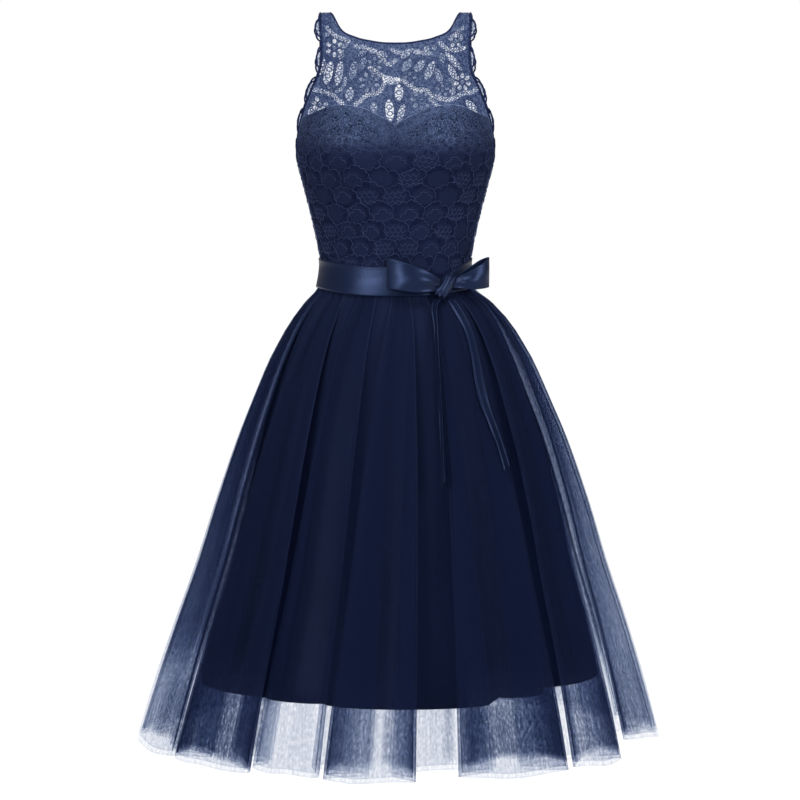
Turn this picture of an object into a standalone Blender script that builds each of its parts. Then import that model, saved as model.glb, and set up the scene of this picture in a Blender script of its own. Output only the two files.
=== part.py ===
"""Sleeveless cocktail dress with a lace bodice, a ribbon sash and a gathered tulle skirt.

The dress stands filled out in its worn form, as a set of thin walls that are open at
the neck, armholes and hem. The origin lies midway between the shoulder tops, the front
faces -Y and +Z is up. Left and right are the wearer's, so left is +X. Sizes in the
tables are in millimetres and every point is turned into metres as its mesh is made.

An angle runs round the body from the centre front (0) over the wearer's left (90) to
the centre back (180). A reach is a length down the centre front from the shoulder line.
"""

import math
from collections import namedtuple

import bmesh
import bpy
import numpy as np
from mathutils import Matrix

MM = 0.001
SEAM_GAP = 0.3

# ---------------------------------------------------------------- driving dimensions
SHOULDER_OUTER = 104.0
SHOULDER_INNER = 94.0
UNDERARM_HEIGHT = -215.0
WAIST_SEAM = -370.0
WAIST_DIP = 10.5
TULLE_HEM = -1047.0
UNDERSKIRT_HEM = -961.0

LACE_WALL = 1.2
LINING_WALL = 1.2
TULLE_WALL = 1.3
UNDERSKIRT_WALL = 1.3
RIBBON_WALL = 1.0

BUST_APART = 68.0
BUST_HEIGHT = -195.0
BUST_RISE = 16.0
BUST_SPREAD = (34.0, 38.0)

SASH_WIDTH = 42.0
SASH_TOP = -349.5

# Half sizes of the body form at each height: across, to the front and to the back.
TorsoRow = namedtuple("TorsoRow", "height across front back")
TORSO = (
    TorsoRow(0, 165, 0.45, 0.45),
    TorsoRow(-4, 165, 16, 16),
    TorsoRow(-15, 163, 34, 30),
    TorsoRow(-30, 161, 50, 44),
    TorsoRow(-46, 160, 63, 56),
    TorsoRow(-80, 155, 84, 78),
    TorsoRow(-120, 150, 102, 94),
    TorsoRow(-160, 146, 116, 102),
    TorsoRow(-195, 142.5, 124, 104),
    TorsoRow(-215, 140.5, 124, 103),
    TorsoRow(-250, 131.5, 114, 97),
    TorsoRow(-300, 119, 98, 87),
    TorsoRow(-349, 109, 85.5, 79.5),
    TorsoRow(-372, 108.5, 84.5, 78.5),
    TorsoRow(-400, 109.5, 86.5, 80.5),
)

# Cut edges of the bodice on the wearer's left half, as distance across and height.
NECKLINE = ((0, -46.5), (17, -46), (34, -43.5), (56.5, -38), (79, -25), (SHOULDER_INNER, 0))
SWEETHEART = ((0, -161), (17, -150), (32, -143), (45.5, -136.5), (72, -132), (94, -134), (117, -143))
SWEETHEART_SIDE = -149.0
FRONT_ARMHOLE = (
    (SHOULDER_OUTER, 0), (104.5, -18), (102, -40), (102.5, -64), (106, -86), (115, -105),
    (123, -124), (131, -145), (136.5, -165), (139.5, -184), (140.8, -203),
)
BACK_ARMHOLE = (
    (SHOULDER_OUTER, 0), (107, -18), (105.5, -40), (106.5, -64), (110.5, -86), (119, -105),
    (127, -124), (134, -145), (138.5, -165), (140.3, -184), (140.9, -201),
)
BACK_SCOOP = ((0, -222), (30, -218), (60, -200), (80, -165))
STRAP_INNER = ((80, -165), (89, -120), (92, -70), (94, -30), (SHOULDER_INNER, 0))

# Heights of the mesh rows at the side edge, below and above the lining's top edge.
LOWER_LEVELS = (
    WAIST_SEAM, -352, -328, -300, -274, -250, -230, UNDERARM_HEIGHT, -195, -172, SWEETHEART_SIDE,
)
UPPER_LEVELS = (SWEETHEART_SIDE, -128, -106, -84, -62, -40, -20, 0)
FRONT_COLUMNS = 18
BACK_COLUMNS = 9
STRAP_COLUMNS = 3

# Fans of petal-shaped eyelets in the sheer yoke, one row for each fan on the left half.
EyeletFan = namedtuple("EyeletFan", "across height petals radius first last long wide")
EYELET_FANS = (
    EyeletFan(0, -101, 6, 13.5, 0, 300, 11.0, 5.4),
    EyeletFan(45, -91, 6, 13.5, 30, 330, 11.0, 5.4),
    EyeletFan(86, -97, 6, 13.5, 0, 300, 11.0, 5.4),
    EyeletFan(79, -53, 5, 12.0, 20, 308, 9.5, 5.0),
    EyeletFan(32, -61, 2, 7.5, 60, 240, 9.0, 5.0),
)

# Half sizes of the skirt at each drop below the waist seam, the sideways shift of its
# middle, the depth of its folds and the height of its gathers.
SkirtRow = namedtuple("SkirtRow", "drop across front back shift fold gather")
SKIRT = (
    SkirtRow(0, 109.1, 85.3, 79.1, 0, 0, 0),
    SkirtRow(15, 109.8, 86.2, 80.2, 0, 0.3, 0.3),
    SkirtRow(22, 111.6, 88.2, 82.1, 0, 0.8, 0.6),
    SkirtRow(29, 117, 92, 87, 1, 2.2, 1.0),
    SkirtRow(46, 136, 106, 104, 4, 5, 1.3),
    SkirtRow(75, 159.5, 125, 124, 6, 10, 1.4),
    SkirtRow(104, 177.5, 139, 139, 6.8, 15, 1.2),
    SkirtRow(133, 193.5, 152, 152, 7.5, 19, 1.0),
    SkirtRow(191, 219, 173, 174, 8.3, 24, 0.4),
    SkirtRow(249, 243, 192.5, 194, 9.2, 30, 0),
    SkirtRow(336, 273.5, 218.5, 221, 9.4, 38, 0),
    SkirtRow(423, 301, 243.5, 246, 8.5, 46, 0),
    SkirtRow(510, 331.5, 270, 273, 7.4, 52, 0),
    SkirtRow(597, 360, 297, 300, 5.5, 58, 0),
    SkirtRow(677, 382.5, 318, 321, 4, 62, 0),
)

# The deep folds of the tulle at its hem, in degrees round the body. Each lobe spans
# left to right at its widest and closes to its two necks behind. Lift raises its hem.
Lobe = namedtuple("Lobe", "left right neck_left neck_right lift")
LOBES = (
    Lobe(-88.0, -58.2, -83, -64, 0),
    Lobe(-56.8, -34.6, -49, -42, 0),
    Lobe(-32.4, -17.2, -31, -19, 0),
    Lobe(-15.6, 3.7, -6.6, -1.4, 0),
    Lobe(12.7, 38.9, 22, 29, 0),
    Lobe(40.3, 56.6, 46, 51, 4),
    Lobe(60.0, 87.0, 68, 76, 24),
    Lobe(92.5, 118.5, 98, 111, 4),
    Lobe(121.5, 149.0, 131, 139, 0),
    Lobe(151.5, 176.0, 157, 171, 0),
    Lobe(180.5, 209.0, 190, 199, 0),
    Lobe(212.0, 238.0, 217, 232, 0),
    Lobe(240.5, 267.5, 250, 258, 0),
)
LOBE_SAMPLES = 8
FRONT_LOBES = 7
PLY_RISE = 14.0
TULLE_DROPS = (0.5, 21.5, 46, 90, 170, 330, 677)
GAP_DROPS = (0, 20, 46, 677)
TULLE_LAYER_GAP = (0.3, 0.8, 1.6, 3.0)
INNER_TULLE_SHORTER = 6.0

UNDERSKIRT_WAVES = 12
WAVE_SAMPLES = 4
UNDERSKIRT_EASE = 2.2
UNDERSKIRT_WAVE = 9.0
UNDERSKIRT_DROPS = (0.5, 21.5, 46, 90, 170, 330, 591)

COLOURS = {
    "lace": ((0.045, 0.065, 0.155, 1), 0.75),
    "lining": ((0.012, 0.018, 0.060, 1), 0.60),
    "binding": ((0.016, 0.024, 0.070, 1), 0.55),
    "satin": ((0.014, 0.022, 0.075, 1), 0.28),
    "tulle": ((0.070, 0.095, 0.190, 1), 0.80),
    "taffeta": ((0.008, 0.012, 0.042, 1), 0.50),
    "zip": ((0.020, 0.028, 0.070, 1), 0.40),
}


# ---------------------------------------------------------------- curves and charts
def catmull_rom(points, steps=40):
    """A smooth curve through the points, with evenly counted steps in each span."""
    knots = np.asarray(points, float)
    ends = (2 * knots[0] - knots[1], 2 * knots[-1] - knots[-2])
    padded = np.vstack([ends[0], knots, ends[1]])
    t = np.linspace(0, 1, steps, endpoint=False)[:, None]
    spans = []
    for p0, p1, p2, p3 in zip(padded, padded[1:], padded[2:], padded[3:]):
        bend = 2 * p0 - 5 * p1 + 4 * p2 - p3
        twist = -p0 + 3 * p1 - 3 * p2 + p3
        spans.append(0.5 * (2 * p1 + (p2 - p0) * t + bend * t**2 + twist * t**3))
    return np.vstack([*spans, knots[-1]])


def along(polyline, shares, scale=(1.0, 1.0)):
    """Points of a polyline at the given shares of its length."""
    steps = np.linalg.norm(np.diff(polyline * scale, axis=0), axis=1)
    length = np.concatenate([[0], np.cumsum(steps)])
    return np.stack([np.interp(shares, length / length[-1], axis) for axis in polyline.T], 1)


def profile_table():
    """The body's rows read finely, with the reach down the centre front added."""
    rows = catmull_rom([tuple(row) for row in TORSO])
    step = np.hypot(np.diff(rows[:, 0]), np.diff(rows[:, 2]))
    return np.column_stack([rows, np.concatenate([[0], np.cumsum(step)])])


PROFILE = profile_table()


def reach_at(height):
    return np.interp(-np.asarray(height, float), -PROFILE[:, 0], PROFILE[:, 4])


def body_surface(angle, reach):
    """Points of the body form, for arrays of angle in radians and reach."""
    height, across, front, back = (np.interp(reach, PROFILE[:, 4], PROFILE[:, i]) for i in range(4))
    facing = np.cos(angle)
    x = across * np.sin(angle)
    depth = np.where(facing > 0, front, back) * facing
    side = (np.abs(x) - BUST_APART) / BUST_SPREAD[0]
    level = (height - BUST_HEIGHT) / BUST_SPREAD[1]
    bust = BUST_RISE * np.exp(-0.5 * (side**2 + level**2)) * np.clip(facing, 0, 1)
    return np.stack([x, -depth - bust, height], -1)


def body_normal(angle, reach):
    turn, step = 0.004, 0.5
    low = np.clip(reach - step, 0.2, None)
    round_body = body_surface(angle + turn, reach) - body_surface(angle - turn, reach)
    up_body = body_surface(angle, low) - body_surface(angle, low + 2 * step)
    normal = np.cross(round_body, up_body)
    return normal / np.linalg.norm(normal, axis=-1, keepdims=True)


def body_points(chart, out):
    """The body form at chart points (angle, reach), moved out along its normals."""
    angle, reach = chart[..., 0], chart[..., 1]
    return body_surface(angle, reach) + out * body_normal(angle, reach)


def chart_of(edge, at_back=False):
    """Points (across, height) of a cut edge as (angle, reach), on the left half."""
    edge = np.asarray(edge, float)
    reach = reach_at(edge[:, 1])
    widest = np.interp(reach, PROFILE[:, 4], PROFILE[:, 1])
    angle = np.arcsin(np.clip(edge[:, 0] / widest, -1, 1))
    return np.column_stack([math.pi - angle if at_back else angle, reach])


CHART_SCALE = (110.0, 1.0)


def waist_seam_height(angle):
    """The waist seam dips a little towards the centre front."""
    return WAIST_SEAM - WAIST_DIP * np.clip(np.cos(angle), 0, None) ** 2


def side_edge(armhole, levels, at_back=False):
    """The side seam and the armhole above it, at the given heights."""
    seam_angle = math.pi / 2 + (1 if at_back else -1) * SEAM_GAP / 2 / 140
    seam = [(seam_angle, reach_at(WAIST_SEAM)), (seam_angle, reach_at(UNDERARM_HEIGHT))]
    curve = catmull_rom(np.vstack([seam[1], chart_of(armhole, at_back)[::-1]]))
    line = np.vstack([seam[0], curve])
    return np.column_stack([np.interp(-reach_at(levels), -line[:, 1], line[:, 0]), reach_at(levels)])


def coons(bottom, top, left, right, rise):
    """A grid of chart points between four edges. rise gives each row's share of the way up."""
    u = np.linspace(0, 1, len(bottom))[None, :, None]
    v = np.asarray(rise)[:, None, None]
    ruled = (1 - v) * bottom[None] + v * top[None] + (1 - u) * left[:, None] + u * right[:, None]
    corners = (1 - v) * ((1 - u) * bottom[0] + u * bottom[-1]) + v * ((1 - u) * top[0] + u * top[-1])
    return ruled - corners


def rise_of(levels):
    levels = np.asarray(levels, float)
    return (levels - levels[0]) / (levels[-1] - levels[0])


# ---------------------------------------------------------------- bodice cut
def mirrored(edge):
    """A left-half edge from the centre outwards, made whole from right to left."""
    return np.vstack([edge[:0:-1] * (-1, 1), edge])


def front_charts():
    """The front's lower grid (waist to lining top) and upper grid (lining top to neck)."""
    angles = np.linspace(-1, 1, FRONT_COLUMNS + 1) * (math.pi / 2 - SEAM_GAP / 2 / 140)
    waist = np.column_stack([angles, reach_at(waist_seam_height(angles))])
    lower_side = side_edge(FRONT_ARMHOLE, LOWER_LEVELS)
    upper_side = side_edge(FRONT_ARMHOLE, UPPER_LEVELS)
    heart = np.vstack([chart_of(SWEETHEART), lower_side[-1]])
    even = np.linspace(0, 1, FRONT_COLUMNS // 2 + 1)
    heart = mirrored(along(catmull_rom(heart), even, CHART_SCALE))
    neck = along(catmull_rom(chart_of(NECKLINE)), np.linspace(0, 1, FRONT_COLUMNS // 2), CHART_SCALE)
    neck = mirrored(np.vstack([neck, upper_side[-1]]))
    flip = (-1, 1)
    lower = coons(waist, heart, lower_side * flip, lower_side, rise_of(LOWER_LEVELS))
    upper = coons(heart, neck, upper_side * flip, upper_side, rise_of(UPPER_LEVELS))
    return lower, upper


def back_charts():
    """The left back's lower grid and strap grid, from the centre back to the side."""
    gap = SEAM_GAP / 2 / 80
    angles = np.linspace(math.pi - gap, math.pi / 2 + SEAM_GAP / 2 / 140, BACK_COLUMNS + 1)
    waist = np.column_stack([angles, reach_at(waist_seam_height(angles))])
    lower_side = side_edge(BACK_ARMHOLE, LOWER_LEVELS, True)
    upper_side = side_edge(BACK_ARMHOLE, UPPER_LEVELS, True)
    scoop = chart_of(BACK_SCOOP, True)
    scoop[0, 0] -= gap
    scoop_columns = BACK_COLUMNS - STRAP_COLUMNS
    scoop = along(catmull_rom(scoop), np.linspace(0, 1, scoop_columns + 1), CHART_SCALE)
    shares = np.linspace(0, 1, STRAP_COLUMNS + 1)[:, None]
    across = scoop[-1] * (1 - shares) + lower_side[-1] * shares
    top = np.vstack([scoop[:-1], across])
    rise = rise_of(LOWER_LEVELS)
    centre = waist[0] * (1 - rise[:, None]) + top[0] * rise[:, None]
    lower = coons(waist, top, centre, lower_side, rise)
    inner = along(catmull_rom(chart_of(STRAP_INNER, True)), rise_of(UPPER_LEVELS), CHART_SCALE)
    shoulder = inner[-1] * (1 - shares) + upper_side[-1] * shares
    strap = coons(across, shoulder, inner, upper_side, rise_of(UPPER_LEVELS))
    return lower, strap


# ---------------------------------------------------------------- meshes
def new_object(name, points_mm, faces, finish):
    """A mesh object with its points in millimetres, its faces turned outwards."""
    mesh = bpy.data.meshes.new(name)
    mesh.from_pydata((np.asarray(points_mm) * MM).tolist(), [], faces)
    form = bmesh.new()
    form.from_mesh(mesh)
    bmesh.ops.recalc_face_normals(form, faces=form.faces)
    form.to_mesh(mesh)
    form.free()
    mesh.shade_smooth()
    mesh.set_sharp_from_angle(angle=math.radians(40))
    mesh.materials.append(material(finish))
    made = bpy.data.objects.new(name, mesh)
    bpy.context.scene.collection.objects.link(made)
    return made


def material(finish):
    """The Principled material of one kind of cloth or metal, made once."""
    if finish in bpy.data.materials:
        return bpy.data.materials[finish]
    colour, roughness = COLOURS[finish]
    made = bpy.data.materials.new(finish)
    made.use_nodes = True
    shader = made.node_tree.nodes["Principled BSDF"]
    shader.inputs["Base Color"].default_value = colour
    shader.inputs["Roughness"].default_value = roughness
    shader.inputs["Metallic"].default_value = 0.0
    made.diffuse_color = colour
    return made


def grid_triangles(rows, columns, first=0, closed=False):
    """Triangles of a grid of points stored row by row. A closed grid joins its last column."""
    faces = []
    width = columns if closed else columns + 1
    for row in range(rows):
        for i in range(columns):
            a = first + row * width + i
            b = first + row * width + (i + 1) % width
            faces += [(a, b, b + width), (a, b + width, a + width)]
    return faces


def walled(outer, inner, triangles):
    """Two equal skins of triangles joined by a rim along every open edge."""
    count = len(outer)
    used = {}
    for face in triangles:
        for edge in zip(face, face[1:] + face[:1]):
            used[edge] = True
    open_edges = [edge for edge in used if edge[::-1] not in used]
    faces = list(triangles) + [tuple(i + count for i in face[::-1]) for face in triangles]
    for a, b in open_edges:
        faces += [(b, a, a + count), (b, a + count, b + count)]
    return np.vstack([outer, inner]), faces


def merged_grids(lower, upper, upper_offset):
    """Two chart grids joined where the upper one's first row lies on the lower's last."""
    rows, width = lower.shape[0] - 1, lower.shape[1]
    upper_rows, upper_width = upper.shape[0] - 1, upper.shape[1]
    chart = np.vstack([lower.reshape(-1, 2), upper[1:].reshape(-1, 2)])
    faces = grid_triangles(rows, width - 1)
    top_row = rows * width + upper_offset
    start = (rows + 1) * width

    def index(row, i):
        return top_row + i if row == 0 else start + (row - 1) * upper_width + i

    for row in range(upper_rows):
        for i in range(upper_width - 1):
            a, b = index(row, i), index(row, i + 1)
            c, d = index(row + 1, i + 1), index(row + 1, i)
            faces += [(a, b, c), (a, c, d)]
    return chart, faces


def body_wall(name, chart, faces, outer, thickness, finish, side=1):
    """A wall that follows the body form. side -1 mirrors it to the wearer's right."""
    outside = body_points(chart, outer)
    inside = body_points(chart, outer - thickness)
    points, faces = walled(outside, inside, faces)
    return new_object(name, points * (side, 1, 1), faces, finish)


def frame_at(chart):
    """A point of the body form with its normal, its sideways and its upward tangent."""
    point = body_points(chart, 0)
    normal = body_normal(chart[..., 0], chart[..., 1])
    sideways = np.cross((0, 0, 1), normal)
    sideways /= np.linalg.norm(sideways, axis=-1, keepdims=True)
    return point, normal, sideways, np.cross(normal, sideways)


def eyelet_prisms():
    """Six-sided oval prisms through the yoke wall, one for each eyelet of every fan."""
    points, faces = [], []
    half_length = 5.0
    for fan in EYELET_FANS:
        turns = np.radians(np.linspace(fan.first, fan.last, fan.petals))
        for side in (1, -1) if fan.across else (1,):
            for turn in turns:
                across = side * (fan.across + fan.radius * math.sin(turn))
                height = fan.height + fan.radius * math.cos(turn)
                chart = chart_of([(across, height)])[0]
                point, normal, sideways, upward = frame_at(chart)
                long_way = side * math.sin(turn) * sideways + math.cos(turn) * upward
                short_way = np.cross(normal, long_way)
                first = len(points)
                for depth in (-half_length, half_length):
                    for corner in np.radians(np.arange(0, 360, 60)):
                        oval = math.cos(corner) * fan.long / 2 * long_way
                        oval = oval + math.sin(corner) * fan.wide / 2 * short_way
                        points.append(point + oval + depth * normal)
                faces.append(tuple(range(first, first + 6)))
                faces.append(tuple(range(first + 6, first + 12)))
                for i in range(6):
                    j = (i + 1) % 6
                    faces.append((first + i, first + j, first + 6 + j, first + 6 + i))
    return points, faces


def add_bodice():
    """Lace front and backs, with the lining walls made from the same grids, moved in."""
    lower, upper = front_charts()
    chart, faces = merged_grids(lower, upper, 0)
    lace = body_wall("lace_front", chart, faces, 0, LACE_WALL, "lace")
    cutter = new_object("eyelet_cutter", *eyelet_prisms(), "lace")
    cutter.hide_render = True
    cutter.display_type = "WIRE"
    cut = lace.modifiers.new("Eyelets", "BOOLEAN")
    cut.object = cutter
    cut.operation = "DIFFERENCE"
    lining_out = -LACE_WALL - SEAM_GAP
    faces = grid_triangles(lower.shape[0] - 1, lower.shape[1] - 1)
    body_wall("lining_front", lower.reshape(-1, 2), faces, lining_out, LINING_WALL, "lining")

    lower, strap = back_charts()
    chart, lace_faces = merged_grids(lower, strap, BACK_COLUMNS - STRAP_COLUMNS)
    faces = grid_triangles(lower.shape[0] - 1, lower.shape[1] - 1)
    for side, word in ((1, "left"), (-1, "right")):
        body_wall(f"lace_back_{word}", chart, lace_faces, 0, LACE_WALL, "lace", side)
        body_wall(
            f"lining_back_{word}", lower.reshape(-1, 2), faces, lining_out, LINING_WALL, "lining", side
        )


# ---------------------------------------------------------------- edge trims
def away_from_panel(points, normals, towards_open, closed=False):
    """Unit directions in the cloth's plane, square to an edge, on its open side."""
    if closed:
        tangent = np.roll(points, -1, 0) - np.roll(points, 1, 0)
    else:
        tangent = np.gradient(points, axis=0)
    tangent /= np.linalg.norm(tangent, axis=1, keepdims=True)
    side = np.cross(tangent, normals)
    side /= np.linalg.norm(side, axis=1, keepdims=True)
    return side * np.sign(np.sum(side * (towards_open - points), 1))[:, None]


def neck_edge_chart():
    """Chart points of the whole neck edge on the left half, centre front to centre back."""
    front = front_charts()[1][-1]
    back_lower, strap = back_charts()
    scoop = back_lower[-1][: BACK_COLUMNS - STRAP_COLUMNS]
    half_front = front[FRONT_COLUMNS // 2 : -1]
    return np.vstack([half_front, strap[::-1, 0][1:], scoop[::-1]])


BINDING_RADIUS = 1.2
BINDING_SIDES = 5


def add_neck_binding():
    """A rolled binding along the neck edge, open at the centre back where the zip ends."""
    chart = neck_edge_chart()
    half = body_points(chart, -LACE_WALL / 2)
    normals = body_normal(chart[:, 0], chart[:, 1])
    mirror = (-1, 1, 1)
    points = np.vstack([half[:0:-1] * mirror, half])
    normals = np.vstack([normals[:0:-1] * mirror, normals])
    inside = points * (0.2, 0.2, 1) + (0, 0, 30)
    side = away_from_panel(points, normals, inside)
    centre = points + side * (BINDING_RADIUS + 2.2 * SEAM_GAP)
    rings = []
    for i in range(BINDING_SIDES):
        turn = 2 * math.pi * i / BINDING_SIDES
        rings.append(centre + BINDING_RADIUS * (math.cos(turn) * side + math.sin(turn) * normals))
    ring_points = np.stack(rings, 1).reshape(-1, 3)
    faces = grid_triangles(len(centre) - 1, BINDING_SIDES, closed=True)
    last = (len(centre) - 1) * BINDING_SIDES
    faces += [tuple(range(BINDING_SIDES)), tuple(range(last, last + BINDING_SIDES))]
    new_object("neck_binding", ring_points, faces, "binding")


SCALLOPS = 10
ARCH_CELLS = 5
PLAIN_CELLS = 2
END_CELLS = 3
TRIM_BAND = 3.0
ARCH_HEIGHT = 10.0
CORD_WIDTH = 2.2
TRIM_WALL = 1.1


def armhole_edge():
    """Points and normals round the left armhole edge, from the front over the underarm."""
    underarm = LOWER_LEVELS.index(UNDERARM_HEIGHT)
    front = np.vstack([front_charts()[0][underarm:, -1], front_charts()[1][1:, -1]])[::-1]
    back = np.vstack([back_charts()[0][underarm:, -1], back_charts()[1][1:, -1]])
    chart = np.vstack([front, back[1:]])
    return body_points(chart, -LACE_WALL / 2), body_normal(chart[:, 0], chart[:, 1])


def add_armhole_trim(side_sign, name):
    """A band along the armhole with corded arches that stand off it, open beneath."""
    edge, normals = armhole_edge()
    pitch = ARCH_CELLS + PLAIN_CELLS
    cells = SCALLOPS * pitch - PLAIN_CELLS + 2 * END_CELLS
    step = np.linalg.norm(np.diff(edge, axis=0), axis=1)
    length = np.concatenate([[0], np.cumsum(step)])
    shares = np.linspace(0, length[-1], cells + 1)
    path = np.stack([np.interp(shares, length, edge[:, i]) for i in range(3)], 1)
    normal = np.stack([np.interp(shares, length, normals[:, i]) for i in range(3)], 1)
    normal /= np.linalg.norm(normal, axis=1, keepdims=True)
    middle = np.array([135.0, 0.0, -105.0])
    side = away_from_panel(path, normal, np.broadcast_to(middle, path.shape))

    turn = np.clip(np.arange(cells + 1) - END_CELLS, 0, SCALLOPS * pitch)
    phase = np.where(turn > SCALLOPS * pitch - PLAIN_CELLS, 0, turn % pitch)
    swell = np.sin(math.pi * np.clip(phase / ARCH_CELLS, 0, 1)).clip(0, 1) ** 0.75
    rails = np.stack(
        [
            np.full(cells + 1, 2 * SEAM_GAP),
            np.full(cells + 1, 2 * SEAM_GAP + TRIM_BAND),
            2 * SEAM_GAP + TRIM_BAND + (ARCH_HEIGHT - TRIM_BAND - CORD_WIDTH) * swell,
            2 * SEAM_GAP + TRIM_BAND + 0.6 + (ARCH_HEIGHT - TRIM_BAND) * swell,
        ],
        1,
    )
    skin = path[:, None] + rails[..., None] * side[:, None]
    outer = (skin + normal[:, None] * TRIM_WALL / 2).reshape(-1, 3)
    inner = (skin - normal[:, None] * TRIM_WALL / 2).reshape(-1, 3)
    faces = []
    for cell in range(cells):
        a, b = 4 * cell, 4 * cell + 4
        at = (cell - END_CELLS) % pitch
        if at >= ARCH_CELLS or not END_CELLS <= cell < cells - END_CELLS:
            faces += [(a, b, b + 1), (a, b + 1, a + 1)]
            continue
        faces += [(a, b, b + 1), (a, b + 1, a + 1)]
        if at == 0:
            faces += [(a + 1, b + 1, b + 2), (a + 1, b + 2, b + 3), (a + 1, b + 3, a + 3)]
        elif at == ARCH_CELLS - 1:
            faces += [(a + 1, b + 1, a + 2), (a + 2, b + 1, a + 3), (a + 3, b + 1, b + 3)]
        else:
            faces += [(a + 2, b + 2, b + 3), (a + 2, b + 3, a + 3)]
    points, faces = walled(outer, inner, faces)
    kept = sorted({i for face in faces for i in face})
    renumber = {old: new for new, old in enumerate(kept)}
    faces = [tuple(renumber[i] for i in face) for face in faces]
    new_object(name, points[kept] * (side_sign, 1, 1), faces, "binding")


# ---------------------------------------------------------------- sash and bow
def add_sash():
    """The ribbon band round the waist, over the seam and the gathered tulle."""
    columns, rows = 48, 3
    angles = np.arange(columns) * 2 * math.pi / columns
    outs = (0.9, 1.5, 4.1)
    skins = []
    for thickness in (RIBBON_WALL + 0.2, 0.0):
        skin = []
        for i in range(rows):
            height = SASH_TOP - SASH_WIDTH * i / (rows - 1) + waist_seam_height(angles) - WAIST_SEAM
            chart = np.column_stack([angles, reach_at(height)])
            skin.append(body_points(chart, outs[i] + thickness))
        skins.append(np.vstack(skin[::-1]))
    faces = grid_triangles(rows - 1, columns, closed=True)
    points, faces = walled(skins[0], skins[1], faces)
    new_object("sash_band", points, faces, "satin")


def waist_point(across, height, out):
    """A point over the sash: its distance across, its height and how far it stands out.

    Past the place where the bow leaves the body, it runs straight on to the side.
    """
    leave = min(across, BOW_LEAVES_BODY)
    point = body_points(chart_of([(leave, max(height, -399.0))])[0], out)
    return np.array([point[0] + across - leave, point[1] + BOW_SLOPE * (across - leave), height])


KNOT_ACROSS = 65.0
KNOT_HEIGHT = -386.0
KNOT_SIZE = (20.0, 40.0, 12.0)
KNOT_TILT = math.radians(25)
KNOT_LEAN = math.radians(15)
KNOT_OUT = 12.6
BOW_LEAVES_BODY = 84.0
BOW_SLOPE = 0.45


def knot_turn():
    """The angle about +Z by which the knot faces away from the centre front."""
    normal = body_normal(*chart_of([(KNOT_ACROSS, KNOT_HEIGHT)])[0])
    return math.atan2(normal[0], -normal[1])


def add_knot():
    """The knot: a small pillow of wrapped ribbon, tilted with its top to the left."""
    centre = waist_point(KNOT_ACROSS, KNOT_HEIGHT, KNOT_OUT)
    facing = Matrix.Rotation(knot_turn(), 3, "Z")
    facing = facing @ Matrix.Rotation(-KNOT_LEAN, 3, "X") @ Matrix.Rotation(KNOT_TILT, 3, "Y")
    form = bmesh.new()
    bmesh.ops.create_cube(form, size=1.0)
    bmesh.ops.scale(form, vec=np.array(KNOT_SIZE)[[0, 2, 1]] * MM, verts=form.verts)
    bmesh.ops.bevel(
        form, geom=form.edges[:], offset=3.6 * MM, segments=2, profile=0.6, affect="EDGES"
    )
    mesh = bpy.data.meshes.new("bow_knot")
    form.to_mesh(mesh)
    form.free()
    mesh.shade_smooth()
    mesh.materials.append(material("satin"))
    knot = bpy.data.objects.new("bow_knot", mesh)
    knot.location = centre * MM
    knot.rotation_euler = facing.to_euler()
    bpy.context.scene.collection.objects.link(knot)


# Rows of ribbon round a bow loop: the share of its length, its stand-off and half width.
LoopRow = namedtuple("LoopRow", "away out half_width")
LOOP_ROWS = (
    LoopRow(0.00, 14.5, 11.0),
    LoopRow(0.16, 19.5, 14.5),
    LoopRow(0.42, 22.0, 18.5),
    LoopRow(0.72, 20.0, 20.5),
    LoopRow(0.93, 15.0, 21.0),
    LoopRow(1.00, 11.0, 21.0),
    LoopRow(0.93, 7.6, 21.0),
    LoopRow(0.66, 6.8, 20.0),
    LoopRow(0.30, 7.0, 15.0),
    LoopRow(0.00, 9.5, 11.0),
)

# The two loops: side, seat against the knot, length, and middle heights at both ends.
BowLoop = namedtuple("BowLoop", "name side seat length knot_height end_height")
BOW_LOOPS = (
    BowLoop("bow_loop_right", -1, 0.0, 66.0, -385.5, -371.0),
    BowLoop("bow_loop_left", 1, -0.3, 51.0, -381.0, -368.0),
)


def add_loop(loop):
    """One bow loop: ribbon that runs out from the knot, turns and comes back behind."""
    widths = np.linspace(-1, 1, 4)
    foreshortening = math.cos(knot_turn())
    start = KNOT_SIZE[0] / 2 / math.cos(KNOT_TILT) * foreshortening + loop.seat
    grid = []
    for row in LOOP_ROWS:
        middle = loop.knot_height + (loop.end_height - loop.knot_height) * row.away
        heights = middle + widths * row.half_width
        slant = (heights - KNOT_HEIGHT) * math.tan(KNOT_TILT) * foreshortening * (1 - row.away)
        across = KNOT_ACROSS + loop.side * (start + row.away * loop.length) + slant
        grid.append(np.column_stack([across, heights, np.full(len(widths), row.out)]))
    grid = np.array(grid)
    across_step = np.gradient(grid[..., 0], axis=0)
    out_step = np.gradient(grid[..., 2], axis=0)
    size = np.hypot(across_step, out_step)
    shift = np.stack([-out_step / size, np.zeros_like(size), across_step / size], -1) * RIBBON_WALL / 2
    skins = []
    for sign in (1, -1):
        skin = [waist_point(*point) for point in (grid + sign * shift).reshape(-1, 3)]
        skins.append(np.array(skin))
    faces = grid_triangles(len(LOOP_ROWS) - 1, len(widths) - 1)
    points, faces = walled(skins[0], skins[1], faces)
    new_object(loop.name, points, faces, "satin")


# ---------------------------------------------------------------- skirt
def skirt_size(drop):
    """Smoothly read sizes of the skirt at a drop below the waist seam."""
    rows = SKIRT_FINE
    return {name: np.interp(drop, rows[:, 0], rows[:, i]) for i, name in enumerate(SkirtRow._fields)}


SKIRT_FINE = catmull_rom([tuple(row) for row in SKIRT], 12)


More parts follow.
